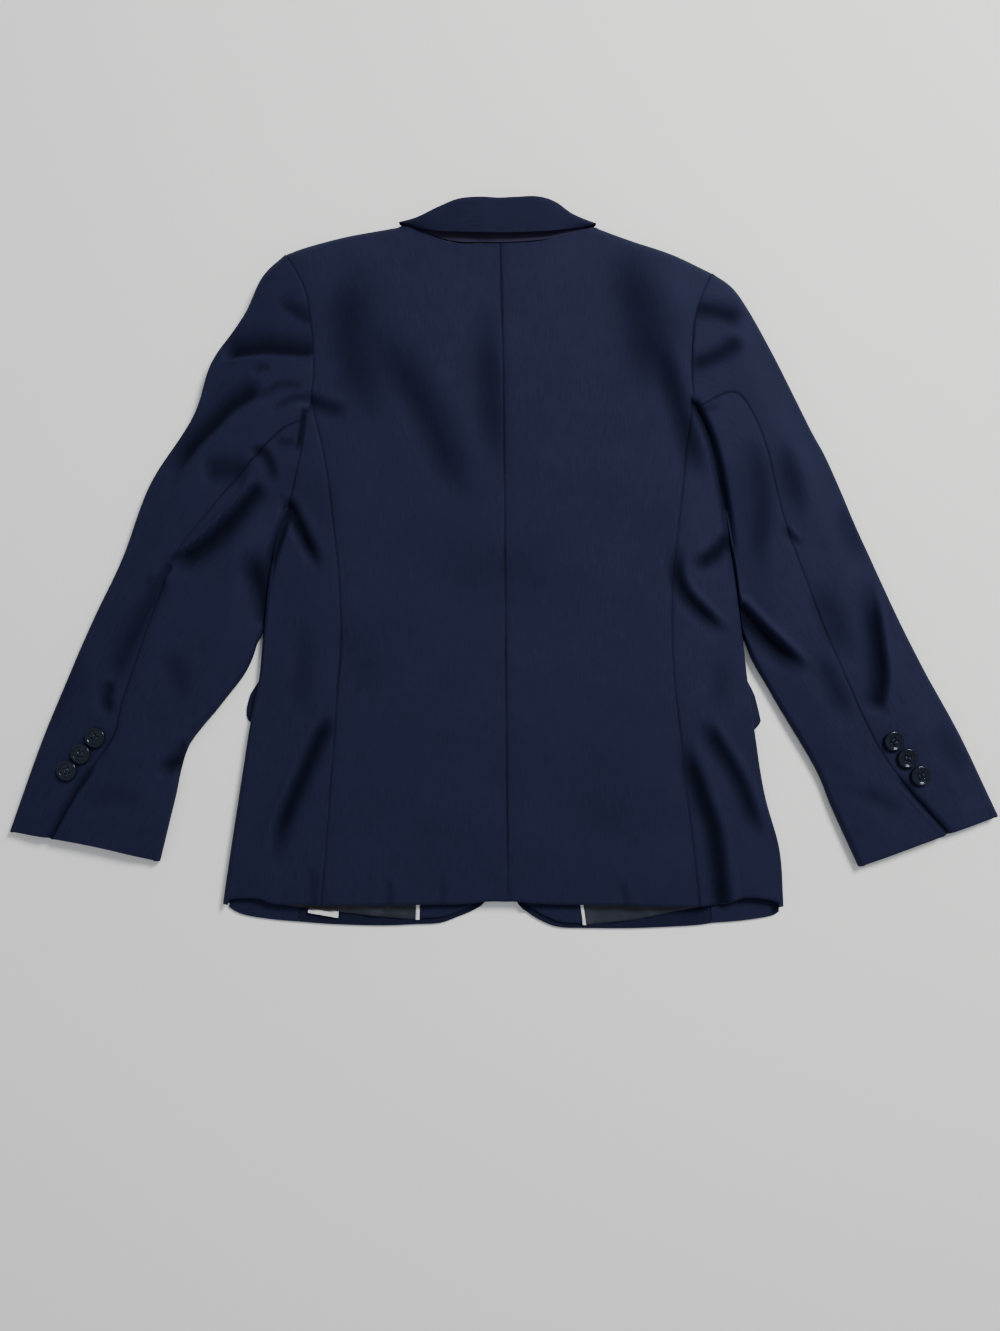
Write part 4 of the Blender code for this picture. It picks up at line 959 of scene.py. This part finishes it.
def sleeve(side):
    seams = SEAMS[side]
    turn = -1 if side == "left" else 1
    base_height = sleeve_top(side)

    def height(places):
        return base_height(places) + uneven(places, SLEEVE_SEEDS[side])

    armhole = moved(armhole_line(side), turn * ARMHOLE_GAP / 2)
    v = stations(SLEEVE_LENGTH)
    outer = curve(seams["sleeve_outer"], v)
    inner = curve(seams["sleeve_inner"], v) + np.array([turn * SIDE_GAP, 0])
    fold = curve(seams["fold"], 200)
    beside_fold = np.interp(inner[:, 1], fold[:, 1], fold[:, 0]) + turn * TOUCH_GAP
    touch = smooth((inner[:, 1] - TOUCH_END) / TOUCH_FADE + 0.5)
    inner[:, 0] += touch * (beside_fold - inner[:, 0])
    outer[0] = armhole[0]
    shares = np.linspace(0, 1, RING_POINTS)
    bow = spread(armhole, shares) - (armhole[0] + shares[:, None] * (armhole[-1] - armhole[0]))
    keep = np.maximum(0.0, 1 - v / BOW_SHARE) ** 2
    rings = (outer[:, None] + shares[None, :, None] * (inner - outer)[:, None]
             + keep[:, None, None] * bow[None])
    rings = np.array([spread(line, shares) for line in rings])
    lengths = np.linalg.norm(np.diff(rings, axis=1), axis=-1).sum(axis=1)
    seam = curve(seams["hindarm"], 400)
    crossings = np.array([shares[nearest(line, seam).argmin()] for line in rings])
    kernel = np.ones(2 * EVEN_REACH + 1) / (2 * EVEN_REACH + 1)
    for _ in range(2):
        crossings = np.convolve(np.pad(crossings, EVEN_REACH, mode="edge"), kernel, mode="valid")
    run = spread_each(rings, crossings[:, None])[:, 0]
    cuff = np.array([rings[-1][0], rings[-1][-1]])
    centre = rings.mean(axis=(0, 1))
    insets, lips = [], []
    ahead = rings[-1] - rings[-8]
    ahead /= np.linalg.norm(ahead, axis=1)[:, None]
    back_off = CUFF_BACK[side] * smooth(1 - (1 - v) * SLEEVE_LENGTH / CUFF_SPAN)
    for piece, end, after, way in (("top_sleeve", 0, 1, -1), ("under_sleeve", -1, -2, 1)):
        outward = rings[:, end] - rings[:, after]
        outward /= np.linalg.norm(outward, axis=1)[:, None]
        half = height(rings[:, end]) / 2
        for _ in range(SETTLE_ROUNDS):
            inset = rings[:, end] - outward * half[:, None]
            half = (half + height(inset) / 2) / 2
        last = half / lengths if end == 0 else 1 - half / lengths
        first = crossings + way * SEAM_GAP / lengths
        at = stations(SLEEVE_WIDTHS[piece], end=False)
        across = first[:, None] + at[None] * (last - first)[:, None]
        upper = spread_each(rings, across)
        upper[:, -1] = inset
        upper -= (back_off[:, None] * np.sin(math.pi * across))[..., None] * ahead[RING_POINTS // 2]
        base = raised(upper, height(upper))
        normal = slopes(upper, height, centre)
        face = base.copy()
        face[..., 2] -= seam_dip(upper, [run, armhole]) + edge_dip(upper, [cuff])
        edge = (inset, outward, np.zeros(len(v)), 2 * half)
        round_outer, round_inner = folded_edge(*edge, SLEEVE_EDGE)
        made = shell(f"{piece}_{side}_cloth", np.concatenate([face, round_outer], axis=1),
                     np.concatenate([base - normal * WALL, round_inner], axis=1), WOOL,
                     shade=shaded(upper, "sleeve", [run, armhole]))
        dressed(made, f"{piece}_{side}", [f"sleeve_below_{side}_cloth"])
        insets.append(inset)
        lips.append(folded_edge(*edge, SLEEVE_BELOW_EDGE))
    w = np.linspace(0, 1, 16)
    flat = insets[0][:, None] + w[None, :, None] * (insets[1] - insets[0])[:, None]
    flat = raised(flat, np.zeros(flat.shape[:2]))
    (near, near_in), (far, far_in) = lips
    below = shell(f"sleeve_below_{side}_cloth",
                  np.concatenate([near, flat, far[:, ::-1]], axis=1),
                  np.concatenate([near_in, flat + np.array([0, 0, WALL]), far_in[:, ::-1]],
                                 axis=1), WOOL)
    dressed(below, f"sleeve_below_{side}_1", ["floor"])
    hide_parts(f"sleeve_below_{side}_2", f"sleeve_below_{side}_3")


# ----------------------------------------------------------------- collar
# Painted shade laid evenly over the whole top collar, whose slope catches too much light.
COLLAR_SHADE = 0.26
LEAF_DROP = 1.6           # how far the collar's leaf comes down at its edge
LINING_TUCK = 0.07        # share by which the under collar's edge is drawn in


def collar():
    rows = curve(COLLAR, 110)
    angles = np.linspace(math.pi / 2, -math.pi / 2, 13)
    stand = np.concatenate([[0, 0.02, 0.06, 0.12], np.linspace(0.2, 0.92, 9)])
    nets = []
    for row in rows:
        r = dict(zip(COLLAR_COLUMNS, row))
        fold = np.array([r["x_fold"], r["y_fold"]])
        leaf = np.array([r["x_leaf"], r["y_leaf"]])
        neck = np.array([r["x_neck"], r["y_neck"]])
        outward = fold - leaf
        width = np.linalg.norm(outward)
        outward /= width
        half = (r["top"] - r["bottom"]) / 2
        reach = min(half, 0.6 * width)
        inset = fold - outward * reach
        line = []
        for share in stand:
            place = leaf + share * (inset - leaf)
            line.append((*place, r["top"] - LEAF_DROP * (1 - share) ** 2))
        for angle in angles:
            place = inset + outward * reach * math.cos(angle)
            line.append((*place, r["bottom"] + half + half * math.sin(angle)))
        for share in np.linspace(0, 1, 7)[1:]:
            place = inset + share * (neck - inset)
            line.append((*place, r["bottom"]))
        nets.append(line)
    outer = np.array(nets)
    normal = np.cross(np.gradient(outer, axis=0), np.gradient(outer, axis=1))
    normal /= np.linalg.norm(normal, axis=-1)[..., None]
    if normal[50, 0, 2] < 0:
        normal = -normal
    face = outer.copy()
    face[..., 2] += uneven(outer[..., :2], 3, ((40.0, 0.15), (20.0, 0.1)))
    shade = np.full(face.shape[:2], COLLAR_SHADE)
    top = shell("top_collar_cloth", face, outer - normal * THIN_WALL, WOOL, shade=shade)
    dressed(top, "top_collar", ["back_left_cloth", "back_right_cloth"])
    lining = outer - normal * (THIN_WALL + LAY_GAP)
    lining[:, 0] += LINING_TUCK * (lining[:, 4] - lining[:, 0])
    low = shell("under_collar_felt", lining[4:-4], (lining - normal * THIN_WALL)[4:-4], FELT)
    dressed(low, "under_collar", ["back_left_cloth", "back_right_cloth"])


# -------------------------------------------------- plates and small trim
def plate(name, outline, bottom, top, material, node, round_off=0.45, step=4.0):
    """A flat cloth plate with rounded edges."""
    outline = np.array(outline, dtype=float)
    ring = np.vstack([outline, outline[:1]])
    length = np.linalg.norm(np.diff(ring, axis=0), axis=1).sum()
    ring = spread(ring, np.linspace(0, 1, int(length / step) + 1))[:-1]
    centre = ring.mean(axis=0)
    middle, half = (bottom + top) / 2, (top - bottom) / 2
    layers = []
    inward = centre - ring
    inward /= np.linalg.norm(inward, axis=1)[:, None]
    profile = ((6.0, -1.0), (round_off, -1.0), (0.12, -0.6), (0.0, 0.0), (0.12, 0.6),
               (round_off, 1.0), (6.0, 1.0))
    for back_off, share in profile:
        layers.append(raised(ring + inward * back_off, np.full(len(ring), middle + share * half)))
    points = np.vstack(layers + [[[*centre, bottom]], [[*centre, top]]])
    rows, count = len(profile), len(ring)
    piece = build(name, points, ring_faces(rows, count) + end_faces(rows, count), material)
    return dressed(piece, node, ["floor"])


TRIM_GAP = 0.08           # between the piping and its neighbours


def sway(y, side):
    """How far the seam with the piping wanders in x."""
    return np.interp(y, *PIPING_SWAY[side])


def inside_pieces(side):
    turn = -1 if side == "left" else 1
    base = WALL + LAY_GAP
    x = PIPING_X[side]
    half = PIPING_WIDTH / 2
    low = LINING_HEM[side][0][1]
    at = np.linspace(0, 1, 50)
    bend = np.linspace(math.pi, 0, 9)
    line = np.column_stack([np.full(50, x), low + (INSIDE_TOP - low) * at])
    line[:, 0] += sway(line[:, 1], side)
    across = np.cos(bend) * half
    rise = THIN_WALL + PIPING_RISE * np.sin(bend)
    top = np.stack([np.column_stack([line[:, 0] + c, line[:, 1],
                                     np.full(50, base + r)]) for c, r in zip(across, rise)], 1)
    bottom = top.copy()
    bottom[..., 2] = base
    dressed(shell(f"piping_{side}_strip", top, bottom, WHITE), f"piping_{side}")

    u, v = stations(30.0, 2.5), stations(70.0, 2.5)
    near = np.array([x - turn * (half + TRIM_GAP), 0.0])
    start = spread(np.array([near + [0, FACING_HEM[side][0][1]], near + [0, INSIDE_TOP]]), v)
    hem = curve(FACING_HEM[side], u)
    edge = curve(FACING_EDGE[side], v)
    start[:, 0] += sway(start[:, 1], side)
    head = spread(np.array([start[-1], edge[-1]]), u)
    hem[0] = start[0]
    points = net(hem, head, start, edge, u, v)
    low_face = raised(points, lifts(points, side) + WALL + FACING_GAP)
    top_face = low_face + np.array([0, 0, THIN_WALL])
    top_face[..., 2] -= edge_dip(points, [hem, edge], 0.5, 0.7)
    dressed(shell(f"facing_{side}_cloth", top_face, low_face, WOOL), f"facing_{side}",
            [f"front_{side}_cloth"])

    far = x + turn * (half + TRIM_GAP)
    v = stations(70.0, 2.0)
    start = spread(np.array([(far, low), (far, INSIDE_TOP)]), v)
    end = spread(np.array([LINING_HEM[side][-1], (LINING_HEM[side][-1][0], INSIDE_TOP)]), v)
    start[:, 0] += sway(start[:, 1], side)
    u = stations(112.0, 2.0)
    hem = curve(LINING_HEM[side], u)
    hem[0] = start[0]
    head = spread(np.array([start[-1], end[-1]]), u)
    points = net(hem, head, start, end, u, v)
    low_face = raised(points, np.full(points.shape[:2], base))
    wrinkle = uneven(points * np.array([1.0, 0.4]), 17, ((24.0, 0.9), (11.0, 0.4)))
    top_face = low_face + np.array([0, 0, THIN_WALL])
    top_face[..., 2] += np.clip(wrinkle, -0.7, 1.4) - edge_dip(points, [hem], 0.6, 0.8)
    dressed(shell(f"lining_{side}_satin", top_face, low_face, SATIN), f"lining_{side}",
            [f"front_{side}_cloth"])


def label():
    low = WALL + THIN_WALL + 2 * LAY_GAP
    a, b, c, d = [np.array(p) for p in LABEL]
    u, v = stations(23.0, 1.2), stations(17.0, 1.2)
    points = net(spread(np.array([a, b]), u), spread(np.array([d, c]), u),
                 spread(np.array([a, d]), v), spread(np.array([b, c]), v), u, v)
    face = raised(points, np.full(points.shape[:2], low + LABEL_WALL))
    face[..., 2] += 0.12 * np.sin(points[..., 0] * 0.9)
    base = raised(points, np.full(points.shape[:2], low))
    # The label's upper part is painted dark, as the hem's shadow falls on it.
    left, right = LABEL_UNSHADED
    shade = smooth((v[:, None] - left - (right - left) * u[None]) / 0.04)
    dressed(shell("care_label_tape", face, base, WHITE, shade=shade), "care_label",
            ["lining_left_satin"])


# ---------------------------------------------------------------- buttons
def turned(points, place, normal, spin=0.0):
    """Points about the origin, turned to a normal and moved to their place."""
    up = np.array(normal, dtype=float)
    up /= np.linalg.norm(up)
    east = np.cross([0, 1, 0], up)
    east /= np.linalg.norm(east)
    north = np.cross(up, east)
    c, s = math.cos(spin), math.sin(spin)
    flat = np.array(points, dtype=float)
    flat = flat @ np.array([[c, s, 0], [-s, c, 0], [0, 0, 1]])
    return flat @ np.array([east, north, up]) + np.array(place)


# A button's section as shares of its radius and height, from its back to its middle.
FACE_LEVEL = 0.69
FACE_SHARES = (0.48, 0.42, 0.36, 0.31, 0.26, 0.21, 0.16, 0.10, 0.05)
BUTTON_PROFILE = ((0.80, 0.0), (0.93, 0.12), (1.0, 0.42), (1.0, 0.62), (0.965, 0.86),
                  (0.90, 0.98), (0.83, 1.0), (0.77, 0.95), (0.71, 0.82), (0.64, 0.73),
                  (0.56, 0.70), *((share, FACE_LEVEL) for share in FACE_SHARES))
HOLE_AT = 0.19
HOLE_RADIUS = 0.105
HOLE_DEPTH = 0.55
BUTTON_SIDES = 56


def button(name, node, radius, height, place, normal, spin):
    """A four-hole button with a raised rim, sewn on with thread."""
    sides = BUTTON_SIDES
    angles = np.linspace(0, 2 * math.pi, sides, endpoint=False)
    points = []
    for share, level in BUTTON_PROFILE:
        ring = np.column_stack([np.cos(angles), np.sin(angles)]) * share * radius
        rise = np.full(sides, level * height)
        if level == FACE_LEVEL:
            for hx in (-1, 1):
                for hy in (-1, 1):
                    gap = np.hypot(ring[:, 0] - hx * HOLE_AT * radius,
                                   ring[:, 1] - hy * HOLE_AT * radius)
                    rise -= HOLE_DEPTH * height * smooth(2.5 - 2 * gap / (HOLE_RADIUS * radius))
        points.append(raised(ring, rise))
    points = np.vstack(points + [[[0, 0, 0]], [[0, 0, FACE_LEVEL * height]]])
    rows = len(BUTTON_PROFILE)
    made = build(name, turned(points, place, normal, spin),
                 ring_faces(rows, sides) + end_faces(rows, sides), BUTTON)
    dressed(made, node)
    strands = []
    for hy in (-1, 1):
        t = np.linspace(0, math.pi, 9)
        run = np.column_stack([np.cos(t) * HOLE_AT * radius, np.full(9, hy * HOLE_AT * radius),
                               (0.50 + 0.27 * np.sin(t)) * height])
        strands.append(tube(run, 0.055 * radius))
    points = np.vstack([s[0] for s in strands])
    first = len(strands[0][0])
    faces = strands[0][1] + [[corner + first for corner in face] for face in strands[1][1]]
    thread = build(f"{name}_thread", turned(points, place, normal, spin), faces, THREAD)
    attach(thread, "root")


def tube(run, radius, sides=8):
    """Points and faces of a closed tube along a run."""
    points = []
    direction = np.gradient(run, axis=0)
    for place, ahead in zip(run, direction):
        ahead = ahead / np.linalg.norm(ahead)
        east = np.cross(ahead, [0, 1, 0])
        east /= np.linalg.norm(east)
        north = np.cross(ahead, east)
        for k in range(sides):
            a = 2 * math.pi * k / sides
            points.append(place + radius * (math.cos(a) * east + math.sin(a) * north))
    ends = [list(range(sides))[::-1], list(range((len(run) - 1) * sides, len(run) * sides))]
    return np.array(points), ring_faces(len(run), sides) + ends


def buttons():
    for side, places in SLEEVE_BUTTONS.items():
        height = sleeve_top(side)
        for k, place in enumerate(places, start=1):
            spot = np.array([place])
            up = slopes(spot, height, spot[0] + np.array([1.0, 0]))[0]
            up[:2] += LEANS[side][k - 1]
            seat = np.array([*place, height(spot)[0]]) + up * (LAY_GAP + 0.15)
            button(f"cuff_button_{side}_{k}_disc", f"cuff_button_{side}_{k}", BUTTON_RADIUS,
                   BUTTON_HEIGHT, seat, up, 0.4 + 0.5 * k)
    for k, (x, y) in enumerate(FRONT_BUTTONS, start=1):
        button(f"front_button_{k}_disc", f"front_button_{k}", FRONT_BUTTON_RADIUS,
               FRONT_BUTTON_HEIGHT, (x, y, 0), (0, 0, 1), 0.3)


# ------------------------------------------------------- stage and camera
FLOOR_COLOUR = (0.92, 0.92, 0.905)
SKY_COLOUR = (0.93, 0.96, 1.0)
SKY_STRENGTH = 0.46
LIGHTS = (                # name, place in metres, size, power, tint; each looks at the origin
    ("key", (0.98, 1.02, 1.50), 0.7, 53.0, (1.0, 0.99, 0.97)),
    ("fill", (-1.3, -0.6, 1.6), 1.6, 2.0, (0.92, 0.95, 1.0)),
)
CAMERA_PLACE = (-0.0030, -0.0753, 0.790)
SENSOR = 36.0
PICTURE_LENGTH = 1331 * 0.77 * MM     # of the table, along the picture's longer side


def stage():
    mesh = bpy.data.meshes.new("floor")
    mesh.from_pydata([(-3, -3, 0), (3, -3, 0), (3, 3, 0), (-3, 3, 0)], [], [(0, 1, 2, 3)])
    floor = bpy.data.objects.new("floor", mesh)
    bpy.context.scene.collection.objects.link(floor)
    made, _, shader = nodes_of("pale_floor")
    shader.inputs["Base Color"].default_value = (*FLOOR_COLOUR, 1.0)
    shader.inputs["Roughness"].default_value = 0.9
    mesh.materials.append(made)

    world = bpy.data.worlds.new("studio")
    world.use_nodes = True
    sky = world.node_tree.nodes["Background"].inputs
    sky["Color"].default_value = (*SKY_COLOUR, 1.0)
    sky["Strength"].default_value = SKY_STRENGTH
    bpy.context.scene.world = world
    for name, place, size, power, tint in LIGHTS:
        light = bpy.data.lights.new(name, "AREA")
        light.shape = "DISK"
        light.size = size
        light.energy = power
        light.color = tint
        lamp = bpy.data.objects.new(name, light)
        lamp.location = place
        east, north, up = place
        lamp.rotation_euler = (0, math.atan2(math.hypot(east, north), up),
                               math.atan2(north, east))
        bpy.context.scene.collection.objects.link(lamp)


def camera():
    data = bpy.data.cameras.new("camera")
    data.sensor_fit = "AUTO"
    data.sensor_width = SENSOR
    data.lens = SENSOR * CAMERA_PLACE[2] / PICTURE_LENGTH
    made = bpy.data.objects.new("camera", data)
    made.location = CAMERA_PLACE
    bpy.context.scene.collection.objects.link(made)
    bpy.context.scene.camera = made


def main():
    camera()
    stage()
    for side in SEAMS:
        front(side)
        side_panel(side)
        back(side)
        sleeve(side)
        inside_pieces(side)
        plate(f"lapel_{side}_cloth", LAPELS[side], 0, PLATE, WOOL, f"lapel_{side}")
        plate(f"collar_end_{side}_cloth", COLLAR_ENDS[side], 0, PLATE, WOOL,
              f"collar_end_{side}")
        plate(f"pocket_flap_{side}_cloth", FLAPS[side], 0, PLATE, WOOL,
              f"pocket_flap_{side}")
    collar()
    label()
    buttons()


main()
